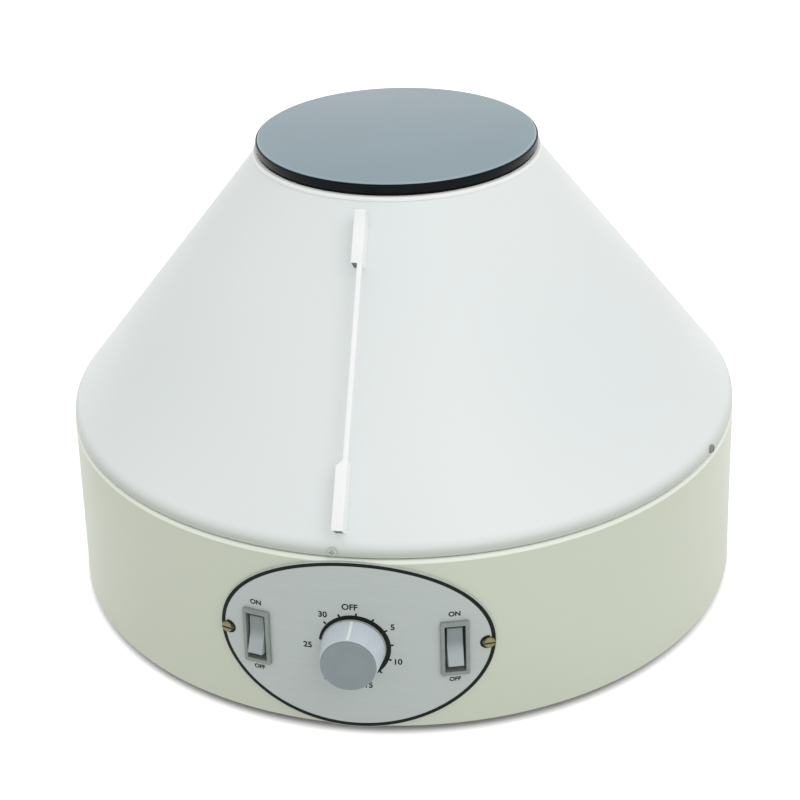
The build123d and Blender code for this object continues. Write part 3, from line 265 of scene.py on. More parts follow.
def blend_colours(tree, factor, first, second):
    """Mix of two colours, each a value or an output. The colours are on sockets 6 and 7."""
    mix = add_node(tree, "ShaderNodeMix", {"Factor": factor}, data_type="RGBA")
    for socket, colour in ((mix.inputs[6], first), (mix.inputs[7], second)):
        if isinstance(colour, bpy.types.NodeSocket):
            tree.links.new(colour, socket)
        else:
            socket.default_value = colour
    return mix.outputs[2]


def grain(tree, scale, detail=3.0, stretch=(1, 1, 1)):
    """Noise between 0 and 1 with that many grains to the metre."""
    noise = add_node(tree, "ShaderNodeTexNoise", {
        "Vector": object_place(tree, stretch), "Scale": scale, "Detail": detail, "Roughness": 0.55})
    return noise.outputs["Fac"]


def two_tints(tree, factor, low, high):
    """Colour that runs from one picker colour to another over the middle of a pattern's range."""
    spread = add_node(tree, "ShaderNodeMapRange", {
        "Value": factor, "From Min": noise_low, "From Max": noise_high})
    return blend_colours(tree, spread.outputs["Result"], linear(*low), linear(*high))


def tint(tree, shader, factor, low, high):
    """Base colour between two picker colours, by a pattern."""
    tree.links.new(two_tints(tree, factor, low, high), shader.inputs["Base Color"])


def vary_roughness(tree, shader, factor, low, high):
    """Roughness that follows a pattern between two values."""
    spread = add_node(tree, "ShaderNodeMapRange", {
        "Value": factor, "From Min": noise_low, "From Max": noise_high,
        "To Min": low, "To Max": high})
    tree.links.new(spread.outputs["Result"], shader.inputs["Roughness"])


def relief(tree, shader, height, depth, strength=1.0):
    """Bump of a pattern whose full swing is that deep."""
    bump = add_node(tree, "ShaderNodeBump", {
        "Height": height, "Distance": depth, "Strength": strength})
    tree.links.new(bump.outputs["Normal"], shader.inputs["Normal"])


print("tints run from", noise_low, "to", noise_high, "of a noise, where most of its values lie")

# %% Paint and mouldings
enamel_specular = 0.3


def enamel(name, low, high, gloss, edges=()):
    """Sprayed and baked paint: slow cloudiness and a fine orange peel.

    Each edge is two heights and two colours, and the paint turns into those colours between the
    heights. Most of these bands are painted highlights and painted shade.
    """
    finish, tree, shader = new_finish(name, gloss, specular=enamel_specular)
    cloud = grain(tree, 9, 0.0)
    paint = two_tints(tree, cloud, low, high)
    for start, end, edge_low, edge_high in edges:
        other = two_tints(tree, cloud, edge_low, edge_high)
        paint = blend_colours(tree, height_share(tree, start, end), paint, other)
    tree.links.new(paint, shader.inputs["Base Color"])
    vary_roughness(tree, shader, grain(tree, 16, 0.0), gloss - 0.02, gloss + 0.03)
    relief(tree, shader, grain(tree, 700, 1.0), 0.01 * mm, 0.4)
    return finish


def moulded(name, low, high, gloss, depth=0.03, specular=0.5):
    """Moulded plastic or rubber: an even colour with a fine spark-eroded grain."""
    finish, tree, shader = new_finish(name, gloss, specular=specular)
    tint(tree, shader, grain(tree, 90), low, high)
    vary_roughness(tree, shader, grain(tree, 300), gloss - 0.06, gloss + 0.08)
    relief(tree, shader, grain(tree, 2600, 2.0), depth * mm, 0.6)
    return finish


print("enamel has a specular level of", enamel_specular)

# %% Metals
sheet_pitch = 0.6 * mm
wire_pitch = 0.9 * mm


def brushed(name, low, high, gloss, stretch=(1, 1, 0.04)):
    """Metal drawn or brushed one way: a noise stretched into streaks."""
    finish, tree, shader = new_finish(name, gloss, metallic=1.0)
    streaks = grain(tree, 1500, 4.0, stretch)
    tint(tree, shader, streaks, low, high)
    vary_roughness(tree, shader, streaks, gloss - 0.05, gloss + 0.1)
    relief(tree, shader, streaks, 0.01 * mm, 0.4)
    return finish


def spun(name, low, high, gloss, rings=700.0):
    """Metal spun or turned about the upright axis: fine rings by radius and height."""
    finish, tree, shader = new_finish(name, gloss, metallic=1.0)
    section = add_node(tree, "ShaderNodeCombineXYZ", {
        "X": axis_reach(tree), "Y": object_axes(tree)["Z"]})
    noise = add_node(tree, "ShaderNodeTexNoise", {
        "Vector": section.outputs[0], "Scale": rings, "Detail": 3.0})
    tool_marks = noise.outputs["Fac"]
    tint(tree, shader, tool_marks, low, high)
    vary_roughness(tree, shader, grain(tree, 40), gloss - 0.05, gloss + 0.08)
    relief(tree, shader, tool_marks, 0.015 * mm, 0.5)
    return finish


def cast(name, low, high, gloss):
    """Sand or die casting: a pebbled skin with darker hollows."""
    finish, tree, shader = new_finish(name, gloss, metallic=1.0)
    pebbles = grain(tree, 420, 4.0)
    tint(tree, shader, pebbles, low, high)
    vary_roughness(tree, shader, grain(tree, 150), gloss - 0.05, gloss + 0.1)
    relief(tree, shader, pebbles, 0.12 * mm, 0.6)
    return finish


def layered(name, low, high, gloss, pitch, metallic):
    """Stacked sheets or wound wire: even lines across the upright axis, pitch metres apart.

    The bands of a wave texture are pi / (10 times its scale) metres apart.
    """
    finish, tree, shader = new_finish(name, gloss, metallic=metallic)
    wave = add_node(tree, "ShaderNodeTexWave", {
        "Vector": object_place(tree), "Scale": pi / (10 * pitch), "Distortion": 0.6, "Detail": 1.0},
        wave_type="BANDS", bands_direction="Z", wave_profile="SIN")
    lines = wave.outputs["Fac"]
    tint(tree, shader, lines, low, high)
    relief(tree, shader, lines, 0.1 * mm, 0.8)
    return finish


print("wave scale of the stacked sheets:", round(pi / (10 * sheet_pitch)))

# %% Finishes of the parts
cream = ((204, 210, 193), (208, 214, 197))
# The lighter band on the base's rounded rim is a painted highlight.
rim_painted_highlight = (96.4 * mm, 97.0 * mm, (236, 241, 229), (241, 245, 235))
# Below the knee the cover's colour is painted shade, turning into the cone's white above it and
# into a painted highlight on the lip.
skirt_painted_shade = ((188, 195, 184), (193, 200, 189))
cover_face = (100.5 * mm, 107.5 * mm, (231, 237, 236), (235, 240, 239))
lip_painted_highlight = (235.3 * mm, 235.7 * mm, (246, 249, 247), (249, 251, 249))
# The upper, pressed-in half of each rocker is darker: painted shade.
rocker_top_painted_shade = (47 * mm, 55 * mm, (134, 143, 142), (140, 149, 148))
finishes = {
    "cream_enamel": enamel("cream_enamel_paint", *cream, 0.4, [rim_painted_highlight]),
    "white_cover": enamel("white_cover_paint", *skirt_painted_shade, 0.42, [cover_face, lip_painted_highlight]),
    "white_grip": enamel("white_grip_paint", (250, 252, 252), (253, 254, 254), 0.3),
    "motor_paint": enamel("motor_paint_coat", (52, 60, 68), (62, 70, 78), 0.45),
    "grey_plastic": moulded("grey_bezel_plastic", (132, 140, 135), (140, 148, 143), 0.46),
    "grey_rocker": enamel("grey_rocker_plastic", (168, 177, 178), (174, 183, 184), 0.34,
                          [rocker_top_painted_shade]),
    "grey_knob": moulded("grey_knob_plastic", (203, 212, 220), (209, 218, 226), 0.36),
    "black_plastic": moulded("black_moulding", (18, 18, 20), (28, 28, 30), 0.4),
    "black_rubber": moulded("black_rubber_skin", (16, 16, 16), (26, 26, 26), 0.7, 0.06),
    "zinc_steel": brushed("zinc_plating", (176, 176, 170), (204, 204, 198), 0.34, (1, 1, 1)),
    "sleeve_steel": brushed("drawn_sleeve_steel", (196, 197, 198), (214, 215, 216), 0.24),
    "hinge_steel": brushed("satin_nickel", (180, 179, 176), (200, 199, 195), 0.32, (0.04, 1, 1)),
    "heater_steel": brushed("oxidised_heater_tube", (84, 78, 74), (112, 104, 98), 0.45, (1, 1, 1)),
    "brass": brushed("tarnished_brass", (116, 112, 86), (138, 134, 100), 0.42, (1, 1, 1)),
    "bowl_steel": spun("spun_bowl_steel", (190, 191, 192), (210, 211, 212), 0.26),
    "rotor_aluminium": spun("spun_rotor_aluminium", (196, 198, 200), (216, 218, 220), 0.3),
    "bearing_steel": spun("ground_bearing_steel", (172, 172, 176), (196, 196, 200), 0.2, 1600.0),
    "capacitor_can": brushed("drawn_capacitor_can", (190, 190, 192), (208, 208, 210), 0.3),
    "cast_aluminium": cast("cast_aluminium_skin", (168, 170, 172), (192, 194, 196), 0.42),
    "iron_laminations": layered("stacked_laminations", (62, 62, 66), (92, 92, 96), 0.45,
                                sheet_pitch, 1.0),
    "copper_winding": layered("varnished_winding", (120, 62, 34), (176, 98, 56), 0.35,
                              wire_pitch, 0.6),
}
print("finishes so far:", len(finishes))

# %% [markdown]
# ## Faceplate, window and screw finishes
# The faceplate is anodised sheet with a satin skin that was brushed along its length. The window is
# a smoked acrylic disc. Its colour from above is a blue-grey painted reflection of the room, with a
# paler painted reflection on its rounded edge, but its cut edge is almost black, because there one
# looks along the sheet. Shaders that bend light through a sheet are slow and cannot be baked, so
# face and edge are two finishes. The small screws in the cover's skirt take the skirt's colour with
# its painted shade, and turn to a darker grey towards the right-hand side. Such a change from place
# to place is a smooth step along one axis.

# %% Faceplate, window and screw finishes
edge_reflection_span = (70.2 * mm, 71.0 * mm)
edge_painted_reflection = (150, 173, 183)
sheet_underside = (239.1 * mm, 238.95 * mm)
underside_grey = (62, 74, 80)
darker_right_span = (60 * mm, 120 * mm)
right_side_grey = (142, 142, 132)


def satin_plate():
    """Anodised sheet: short level streaks and a soft sheen."""
    finish, tree, shader = new_finish("satin_anodised_plate", 0.38, specular=0.45)
    streaks = grain(tree, 900, 3.0, (0.06, 0.06, 1))
    tint(tree, shader, streaks, (184, 192, 189), (188, 196, 193))
    vary_roughness(tree, shader, streaks, 0.36, 0.44)
    relief(tree, shader, streaks, 0.004 * mm, 0.3)
    return finish


def smoked_acrylic():
    """Polished smoked sheet: a blue-grey painted reflection of the room, and a paler painted
    reflection towards its rounded edge.
    """
    finish, tree, shader = new_finish("acrylic_face_painted_reflection", 0.16)
    # The blue-grey face is painted reflection of the room, and the pale colour near the edge a
    # painted reflection on the round.
    face = two_tints(tree, grain(tree, 14, 1.0), (126, 148, 158), (131, 153, 163))
    ring = smooth_share(tree, axis_reach(tree), *edge_reflection_span)
    colour = blend_colours(tree, ring, face, linear(*edge_painted_reflection))
    tree.links.new(colour, shader.inputs["Base Color"])
    vary_roughness(tree, shader, grain(tree, 25, 1.0), 0.13, 0.2)
    return finish


def cut_acrylic():
    """The same sheet below its face: black round the cut edge, and dark grey seen from inside."""
    finish, tree, shader = new_finish("cut_acrylic_edge", 0.3, specular=0.1)
    below = height_share(tree, *sheet_underside)
    edge = two_tints(tree, grain(tree, 25, 1.0), (0, 8, 12), (2, 11, 15))
    colour = blend_colours(tree, below, edge, linear(*underside_grey))
    tree.links.new(colour, shader.inputs["Base Color"])
    return finish


def worn_screws():
    """Small screws in the skirt's colour with its painted shade, turning to a darker grey on the
    right-hand side.
    """
    finish, tree, shader = new_finish("skirt_screw_painted_shade", 0.45, specular=enamel_specular)
    # Darker grey towards the right-hand side, and the skirt's painted shade elsewhere.
    right_share = smooth_share(tree, object_axes(tree)["X"], *darker_right_span)
    paint = two_tints(tree, grain(tree, 400), *skirt_painted_shade)
    colour = blend_colours(tree, right_share, paint, linear(*right_side_grey))
    tree.links.new(colour, shader.inputs["Base Color"])
    return finish


finishes["ring_screws"] = worn_screws()
finishes["grey_faceplate"] = satin_plate()
finishes["smoked_window"] = smoked_acrylic()
finishes["window_edge"] = cut_acrylic()
finishes["window_bed"] = moulded("window_bed_rubber", (4, 6, 7), (8, 10, 11), 0.7, 0.02,
                                 specular=0.1)
print("finishes with these:", len(finishes))

# %% Finishes on the parts
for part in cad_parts.values():
    for place in part.material_slots:
        place.material = finishes[place.material.name.split(".")[0]]
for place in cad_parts["cover_ring_screws"].material_slots:
    place.material = finishes["ring_screws"]
print("finishes on", len(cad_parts), "parts")

# %% [markdown]
# ## Surfaces from grids
# The CAD meshes are exact but coarse, because they are cut for simulation. Where a piece fills the
# picture it gets a finer surface of its own. A turned part could be a Screw modifier on a profile,
# but a grid of points worked out as one array is as short, and works for bent plates and ribbons as
# well. The grid's faces are quads between neighbours, and rows that shrink to a point become poles
# when doubles are merged.

# %% Surfaces from grids


def grid_faces(rows, columns, wrap_rows, wrap_columns):
    """Quads between each grid point, the next in its row, and the two in the following row."""
    row = np.arange(rows if wrap_rows else rows - 1)[:, None]
    column = np.arange(columns if wrap_columns else columns - 1)[None, :]
    next_row = (row + 1) % rows
    next_column = (column + 1) % columns
    corners = [row * columns + column, row * columns + next_column,
               next_row * columns + next_column, next_row * columns + column]
    spread = [np.broadcast_to(corner, (row.size, column.size)) for corner in corners]
    return np.stack(spread, -1).reshape(-1, 4)


def grid(points, wrap_rows=False, wrap_columns=False, caps=()):
    """(points, faces) of a grid of points in metres, with extra faces for its open ends."""
    points = np.asarray(points, float)
    rows, columns = points.shape[:2]
    faces = grid_faces(rows, columns, wrap_rows, wrap_columns).tolist()
    return points.reshape(-1, 3), faces + [list(cap) for cap in caps]


def build(name, parts, crease=35):
    """Piece from (points, faces) parts: doubles merged, faces outwards, smooth up to a crease."""
    points, faces, start = [], [], 0
    for part_points, part_faces in parts:
        points.append(part_points)
        faces += [[start + corner for corner in face] for face in part_faces]
        start += len(part_points)
    mesh = bpy.data.meshes.new(name)
    mesh.from_pydata(np.concatenate(points).tolist(), [], faces)
    tidy = bmesh.new()
    tidy.from_mesh(mesh)
    bmesh.ops.remove_doubles(tidy, verts=tidy.verts, dist=1e-7)
    bmesh.ops.dissolve_degenerate(tidy, edges=tidy.edges, dist=1e-8)
    bmesh.ops.recalc_face_normals(tidy, faces=tidy.faces)
    tidy.to_mesh(mesh)
    tidy.free()
    mesh.polygons.foreach_set("use_smooth", np.ones(len(mesh.polygons), bool))
    mesh.set_sharp_from_angle(angle=radians(crease))
    piece = bpy.data.objects.new(name, mesh)
    bpy.context.scene.collection.objects.link(piece)
    return piece


def settle(piece, body, slot, finish=None, stands_for=()):
    """Gives a new piece its finish, which is its slot's unless another is passed, hangs it on its
    body and hides the CAD parts that it stands for.
    """
    piece.data.materials.clear()
    piece.data.materials.append(finish or finishes[slot])
    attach(piece, body)
    if stands_for:
        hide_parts(*stands_for)
    size = np.ptp(np.array([corner[:] for corner in piece.bound_box]), axis=0)
    print(piece.name, "faces", len(piece.data.polygons), "size mm", np.round(size / mm, 1))


print("a grid of 4 by 5 points has", len(grid_faces(4, 5, False, False)), "faces")

# %% Rounded and turned lines


def rounded(corners, radii, steps=8):
    """Closed (radius, height) line whose corners become arcs that touch both sides.

    The arc starts and ends at radius / tan(half the corner's angle) from the corner, and its
    points turn evenly from one touching direction to the other.
    """
    corners = np.asarray(corners, float)
    radii = np.asarray(radii, float)[:, None]
    before = np.roll(corners, 1, 0) - corners
    after = np.roll(corners, -1, 0) - corners
    before /= np.linalg.norm(before, axis=1, keepdims=True)
    after /= np.linalg.norm(after, axis=1, keepdims=True)
    half = np.arccos(np.clip((before * after).sum(1, keepdims=True), -1, 1)) / 2
    centre = corners + (before + after) / (2 * np.cos(half)) * radii / np.sin(half)
    first = corners + before * radii / np.tan(half) - centre
    last = corners + after * radii / np.tan(half) - centre
    sweep = np.maximum(pi - 2 * half, 1e-6)[:, None, :]
    share = np.linspace(0, 1, steps)[None, :, None]
    from_first = np.sin((1 - share) * sweep) * first[:, None]
    from_last = np.sin(share * sweep) * last[:, None]
    arcs = (from_first + from_last) / np.sin(sweep)
    line = (centre[:, None] + arcs).reshape(-1, 2)
    keep = np.linalg.norm(line - np.roll(line, 1, 0), axis=1) > 1e-4
    return line[keep]


def turned_points(line, segments=256):
    """Grid of a (radius, height) line in millimetres carried round the upright axis."""
    angle = np.linspace(0, 2 * pi, segments, endpoint=False)
    x = line[:, :1] * np.cos(angle)
    y = line[:, :1] * np.sin(angle)
    z = np.broadcast_to(line[:, 1:], x.shape)
    return np.stack([x, y, z], -1) * mm


rounded_square = rounded([(0, 0), (9, 0), (9, 9), (0, 9)], [1, 1, 1, 1])
print("a square with rounded corners has", len(rounded_square), "points")

# %% [markdown]
# ## Cone cover
# The real cover is spun from sheet: a short upright skirt, a rounded knee, a straight cone and a
# flat lip that stands a little way out under the window. One closed line holds the outer face and
# the inner face, so a single turn about the axis gives the sheet its true thickness at every edge.

# %% Cone cover
skirt_radius = 177.7
skirt_bottom = 99.5
knee_height = 103.5
cone_top_radius = 71.5
lip_radius = 74.0
lip_height = 237.5
opening_radius = 60.0
cover_sheet = 2.0
knee_round = 4.0
lip_round = 0.8
cut_round = 0.4
fold_round = 0.3
under_lip_round = 0.25

cone_drop = lip_height - knee_height
cone_spread = skirt_radius - cone_top_radius


def cone_reach(height, lift=0.0):
    """Radius of the cone's outer face at a height, or of a skin lifted square off it."""
    climb = (height - knee_height) / cone_drop
    return skirt_radius - climb * cone_spread + lift * np.hypot(cone_drop, cone_spread) / cone_drop


lip_low = lip_height - cover_sheet
inner_reach = skirt_radius - cover_sheet
sheet_across = cone_reach(0, cover_sheet) - cone_reach(0)
inner_knee = knee_height - (sheet_across - cover_sheet) * cone_drop / cone_spread
cover_line = rounded(
    [(skirt_radius, skirt_bottom), (skirt_radius, knee_height), (cone_reach(lip_low), lip_low),
     (lip_radius, lip_low), (lip_radius, lip_height), (opening_radius, lip_height),
     (opening_radius, lip_low), (cone_reach(lip_low, -cover_sheet), lip_low),
     (inner_reach, inner_knee), (inner_reach, skirt_bottom)],
    [cut_round, knee_round, fold_round, under_lip_round, lip_round, fold_round, fold_round, 0,
     knee_round - cover_sheet, cut_round])
cover = build("cover_cone", [grid(turned_points(cover_line), True, True)])
settle(cover, "lid", "white_cover", stands_for=["cover_shell"])

# %% [markdown]
# ## Window and gasket
# The window is a polished disc with a rounded edge, bedded on a thin dark gasket. The edge matters
# most: its round catches the room's light as the pale line that one sees above the black rim, and
# its colour there is a painted reflection as well. So the round and the face, coloured with a
# painted reflection of the room, are one thin piece, and the dark sheet below them is another.

# %% Window and gasket
window_radius = 72.4
gasket_low = lip_height
gasket_high = 238.9
window_high = 244.0
face_low = 242.9
face_radius = 71.6
disc_high = 243.3
gasket_round = 0.3
disc_round = 0.6
face_round = 1.0
gasket_inset = 0.7
gasket_reach = window_radius - gasket_inset
gasket_line = rounded([(opening_radius, gasket_low), (gasket_reach, gasket_low),
                       (gasket_reach, gasket_high), (opening_radius, gasket_high)],
                      [0, gasket_round, gasket_round, 0])
gasket = build("window_bed", [grid(turned_points(gasket_line), True, True)])
settle(gasket, "lid", "black_rubber", finishes["window_bed"], ["window_gasket"])
disc_line = rounded([(0, gasket_high), (window_radius, gasket_high),
                     (window_radius, disc_high), (0, disc_high)], [0, disc_round, disc_round, 0])
disc = build("window_disc", [grid(turned_points(disc_line), True, True)])
settle(disc, "lid", "smoked_window", finishes["window_edge"], ["window_plate"])
face_line = rounded([(0, face_low), (face_radius, face_low),
                     (face_radius, window_high), (0, window_high)], [0, 0, face_round, 0])
face = build("window_face", [grid(turned_points(face_line), True, True)])
settle(face, "lid", "smoked_window")

# %% [markdown]
# ## Grip blocks
# The grip is a slim bar between two white blocks. On the real one the bar runs into the blocks and
# the paint covers the seam, so each block is a finer box here that hides the bar's end. It stands
# in the grip's own frame: one way across it, one up the cone and one square off the cone. Its foot
# follows the round cone, which falls away sideways by x squared / 2R. The blocks' lower ends, which
# face down the slope, are covered by thin dark sheets of painted shade.

# %% The grip's frame
grip_start = knee_height + 5.9
grip_offset = -5.2
grip_cover = 0.05
slant = np.hypot(cone_drop, cone_spread)
grip_axes = np.array([[1, 0, 0], [0, cone_spread / slant, cone_drop / slant],
                      [0, -cone_drop / slant, cone_spread / slant]])


def on_grip(across, along, off):
    """Points from the grip's frame, which starts on the cone at the middle of the grip's lower end.

    Each number is carried along its own direction, and the three are added to the starting point.
    """
    foot = np.array([grip_offset, -cone_reach(grip_start), grip_start])
    return (foot + np.stack(np.broadcast_arrays(across, along, off), -1) @ grip_axes) * mm


def cone_fall(across, along):
    """How far off the grip's frame the round cone lies, and a hair more.

    That is minus x squared / 2R, times the share of the cone's slant that is height, with x
    measured from the middle of the front.
    """
    reach = cone_reach(grip_start + along * cone_drop / slant)
    return -(across + grip_offset) ** 2 / (2 * reach) * cone_drop / slant + grip_cover


print("foot of the grip in mm:", np.round(on_grip(0, 0, 0) / mm, 1))

# %% Grip blocks
grip_half = 2.75
grip_front = 11.95
grip_corner = 0.5
grip_length = 153.0
lower_block = 33.0
upper_block = 26.0
block_bevel = 3.0
end_round = 0.3
end_middle = 0.09
upper_start = grip_length - upper_block


def grip_row(left, right, front, along):
    """Outline of a block's section: down to the cone, and rounded at its two front corners."""
    corners = [(left, cone_fall(left, along)), (left, front),
               (right, front), (right, cone_fall(right, along))]
    line = rounded(corners, [0, grip_corner, grip_corner, 0], 6)
    return on_grip(line[:, 0], along, line[:, 1])


def grip_block(name, start, length, bevel, replaced):
    """Block as rows along the grip, drawn in at both ends and bevelled at its upper left corner."""
    rows = []
    for along, inset in ((0, end_round), (end_middle, end_middle), (end_round, 0),
                         (length - bevel - end_round, 0), (length - bevel, 0),
                         (length - end_round, 0), (length - end_middle, end_middle),
                         (length, end_round)):
        left = -grip_half + inset + max(0, along - (length - bevel))
        right = grip_half + grip_cover - inset
        rows.append(grip_row(left, right, grip_front - inset, start + along))
    count = len(rows[0])
    caps = (tuple(range(count)), tuple(range(count * (len(rows) - 1), count * len(rows))))
    settle(build(name, [grid(rows, False, True, caps)]), "lid", "white_grip", stands_for=[replaced])


grip_block("grip_lower_body", 0, lower_block, block_bevel, "grip_block_lower")
grip_block("grip_upper_body", upper_start, upper_block, 0.0, "grip_block_upper")

# %% Painted shade on the grip's lower ends
shade_sheet_foot = 2.0
shade_sheet_front = grip_front - 0.7
shade_sheet_corner = 0.6
shade_sheet_span = (-0.05, 0.4)
lower_end_shade = (-1.9, 1.9)
upper_end_shade = (-2.45, 0.1)


def end_plug(left, right, start):
    """Thin dark sheet of painted shade on a block's lower end, standing a hair proud of it."""
    section = rounded([(left, shade_sheet_foot), (right, shade_sheet_foot), (right, shade_sheet_front),
                       (left, shade_sheet_front)], [shade_sheet_corner] * 4, 5)
    rows = [on_grip(section[:, 0], start + along, section[:, 1]) for along in shade_sheet_span]
    count = len(section)
    return grid(rows, False, True, (tuple(range(count)), tuple(range(count, 2 * count))))


end_shade_sheets = build("grip_end_painted_shade", [end_plug(*lower_end_shade, 0), end_plug(*upper_end_shade, upper_start)])
# The dark colour is painted shade on the down-facing ends.
finishes["grip_plug"] = moulded("grip_end_shade_paint", (92, 100, 95), (102, 110, 105), 0.6)
settle(end_shade_sheets, "lid", "black_plastic", finishes["grip_plug"])

# %% [markdown]
# ## Rim of the base
# The base's wall leans in a little towards the top, as a casting does that has to leave its mould,
# and turns over in a round that catches the light as one bright line under the cover; the paint on
# the round is also lighter there, a painted highlight. On the CAD part that round is a few flat
# strips, and the line would look dashed. So a thin skin is laid over it: one closed line just
# outside the wall, turned in many small steps.

# %% Rim of the base
shell_bottom = 5.0
shell_height = 93.5
shell_low_radius = 180.4
shell_high_radius = 178.2
rim_skin = 0.06
rim_low = 95.5
rim_high = shell_bottom + shell_height
rim_inner = 175.6
rim_root = 0.6
rim_thickness = 0.4
rim_round = 2.0
inner_round = 1.4
shell_draft = shell_low_radius - shell_high_radius


def wall_reach(height, lift=0.0):
    """Radius of the base's drafted wall at a height, or of a skin that much further out."""
    return shell_low_radius - (height - shell_bottom) / shell_height * shell_draft + lift


rim_line = rounded(
    [(wall_reach(rim_low, rim_skin), rim_low),
     (wall_reach(rim_high, rim_skin), rim_high + rim_skin),
     (rim_inner, rim_high + rim_skin), (rim_inner, rim_high - rim_thickness),
     (wall_reach(rim_high, -rim_root), rim_high - rim_thickness),
     (wall_reach(rim_low, -rim_root), rim_low)],
    [0, rim_round + rim_skin, 0, 0, inner_round, 0], 12)
rim = build("base_rim_line", [grid(turned_points(rim_line, 512), True, True)])
settle(rim, "base", "cream_enamel")

# %% [markdown]
# ## Printed marks on the faceplate
# The real plate carries a dark border line close to its edge, with a half ring round the inner
# side of each brass screw, a thick arc with ticks round the knob, and short labels. They could be
# painted by a shader, but thin lines on a curved plate stay crisp and keep their place as raised
# ribbons of ink. Each is drawn flat, as sideways and upward millimetres, and then laid on the
# curved wall.

# %% The curved plate
plate_lift = 1.5
plate_centre = 51.6
plate_half_width = 67.1
plate_half_height = 46.5
knob_height = 51.0
ink_rise = 0.07
ink_root = 0.3


def on_plate(flat, lift):
    """Points on the plate's front from (sideways, height) pairs.

    The plate is part of a cylinder here, so y is minus the root of radius squared less x squared.
    """
    x, z = flat[..., 0], flat[..., 1]
    reach = wall_reach(z, plate_lift + lift)
    return np.stack([x, -np.sqrt(reach ** 2 - x ** 2), z], -1) * mm


print("plate front at the knob:", np.round(on_plate(np.array([0.0, knob_height]), 0) / mm, 2))

# %% Ribbons of ink and letters
letter_boldness = 0.1


def even_path(points, spacing):
    """Closed path through the same places with its points one spacing apart along its run."""
    line = np.vstack([points, points[:1]])
    run = np.concatenate([[0], np.cumsum(np.linalg.norm(np.diff(line, axis=0), axis=1))])
    count = max(int(run[-1] / spacing), 2)
    places = np.linspace(0, run[-1], count, endpoint=False)
    return np.stack([np.interp(places, run, line[:, axis]) for axis in (0, 1)], -1)


def ribbon(path, width, closed=False):
    """Ink along a flat path: its sides stand half a width to the left and right of each point."""
    if closed:
        along = np.roll(path, -1, 0) - np.roll(path, 1, 0)
    else:
        along = np.gradient(path, axis=0)
    along /= np.linalg.norm(along, axis=1, keepdims=True)
    side = np.stack([-along[:, 1], along[:, 0]], -1) * np.reshape(width, (-1, 1)) / 2
    left, right = path + side, path - side
    points = np.stack([on_plate(left, -ink_root), on_plate(left, ink_rise),
                       on_plate(right, ink_rise), on_plate(right, -ink_root)], 1)
    end = 4 * (len(path) - 1)
    caps = () if closed else ((0, 1, 2, 3), (end + 3, end + 2, end + 1, end))
    return grid(points, closed, True, caps)


def lettering(text, size, middle):
    """Characters as a solid: a flat text, turned into a mesh, and then laid on the plate."""
    curve = bpy.data.curves.new("label_" + text, "FONT")
    curve.body = text
    curve.size = size
    curve.offset = letter_boldness
    curve.align_x = "CENTER"
    curve.align_y = "CENTER"
    curve.extrude = (ink_rise + ink_root) / 2
    holder = bpy.data.objects.new("label_" + text, curve)
    flat = bpy.data.meshes.new_from_object(holder)
    points = np.empty(len(flat.vertices) * 3)
    flat.vertices.foreach_get("co", points)
    points = points.reshape(-1, 3)
    faces = [list(face.vertices) for face in flat.polygons]
    bpy.data.objects.remove(holder)
    bpy.data.curves.remove(curve)
    bpy.data.meshes.remove(flat)
    return on_plate(points[:, :2] + middle, points[:, 2] + (ink_rise - ink_root) / 2), faces


print("ink stands", ink_rise, "mm proud of the plate")

# %% Border line
border_inset = 1.2
border_width = 1.8
screw_reach = 63.1
screw_ring = 3.0
screw_ring_width = 1.2
border_spacing = 0.25
half_turn = np.linspace(pi * 0.42, pi * 1.58, 60)

angle = np.linspace(0, 2 * pi, 2880, endpoint=False)
ellipse = np.stack([(plate_half_width - border_inset) * np.cos(angle),
                    (plate_half_height - border_inset) * np.sin(angle) + plate_centre], -1)
border = even_path(ellipse, border_spacing)
ink = [ribbon(border, border_width, closed=True)]
for side in (-1, 1):
    arc = np.stack([side * (screw_reach + screw_ring * np.cos(half_turn)),
                    knob_height + screw_ring * np.sin(half_turn)], -1)
    ink.append(ribbon(arc, screw_ring_width))
print("border line", len(border), "points")

# %% Dial, numbers and switch marks
dial_inner = 15.7
dial_outer = 18.0
dial_start = -80.0
dial_end = 150.0
first_mark = 58.0
last_mark = 320.0
minutes = (5, 10, 15, 20, 25, 30)
label_reach = 22.4
label_size = 4.4
off_mark = -3.0
swell_degrees = 70
thin_end = 0.55
tick_root = dial_outer - 0.3
tick_tip = dial_outer + 1.3
tick_width = 0.9
switch_azimuth = radians(15.35)
switch_labels = (("ON", 3.6, 68.8), ("OFF", 3.1, 31.9))


def round_dial(degrees_clockwise, reach):
    """Flat place at an angle from 12 o'clock and a distance from the knob's axis."""
    turned = np.radians(degrees_clockwise)
    return np.stack([reach * np.sin(turned), reach * np.cos(turned) + knob_height], -1)


dial_angles = np.linspace(dial_start, dial_end, 160)
swell = np.clip((dial_angles - dial_start) / swell_degrees, 0, 1)
dial_width = (dial_outer - dial_inner) * (thin_end + (1 - thin_end) * swell)
dial_path = round_dial(dial_angles, dial_inner + dial_width / 2)
step = (last_mark - first_mark) / (len(minutes) - 1)
ink.append(ribbon(dial_path, dial_width))
for mark in np.arange(first_mark - 2 * step, dial_end, step / 2):
    tick = round_dial(np.full(2, mark), np.array([tick_root, tick_tip]))
    ink.append(ribbon(tick, tick_width))
for minute, mark in zip(minutes, np.linspace(first_mark, last_mark, len(minutes))):
    ink.append(lettering(str(minute), label_size, round_dial(mark, label_reach)))
ink.append(lettering("OFF", label_size, round_dial(off_mark, label_reach)))
for side in (-1, 1):
    across = side * (wall_reach(knob_height) + plate_lift) * sin(switch_azimuth)
    for word, size, height in switch_labels:
        ink.append(lettering(word, size, (across, height)))
marks = build("plate_print", ink)
finishes["ink"] = moulded("green_black_ink", (16, 22, 16), (22, 29, 21), 0.6, 0.01, specular=0.15)
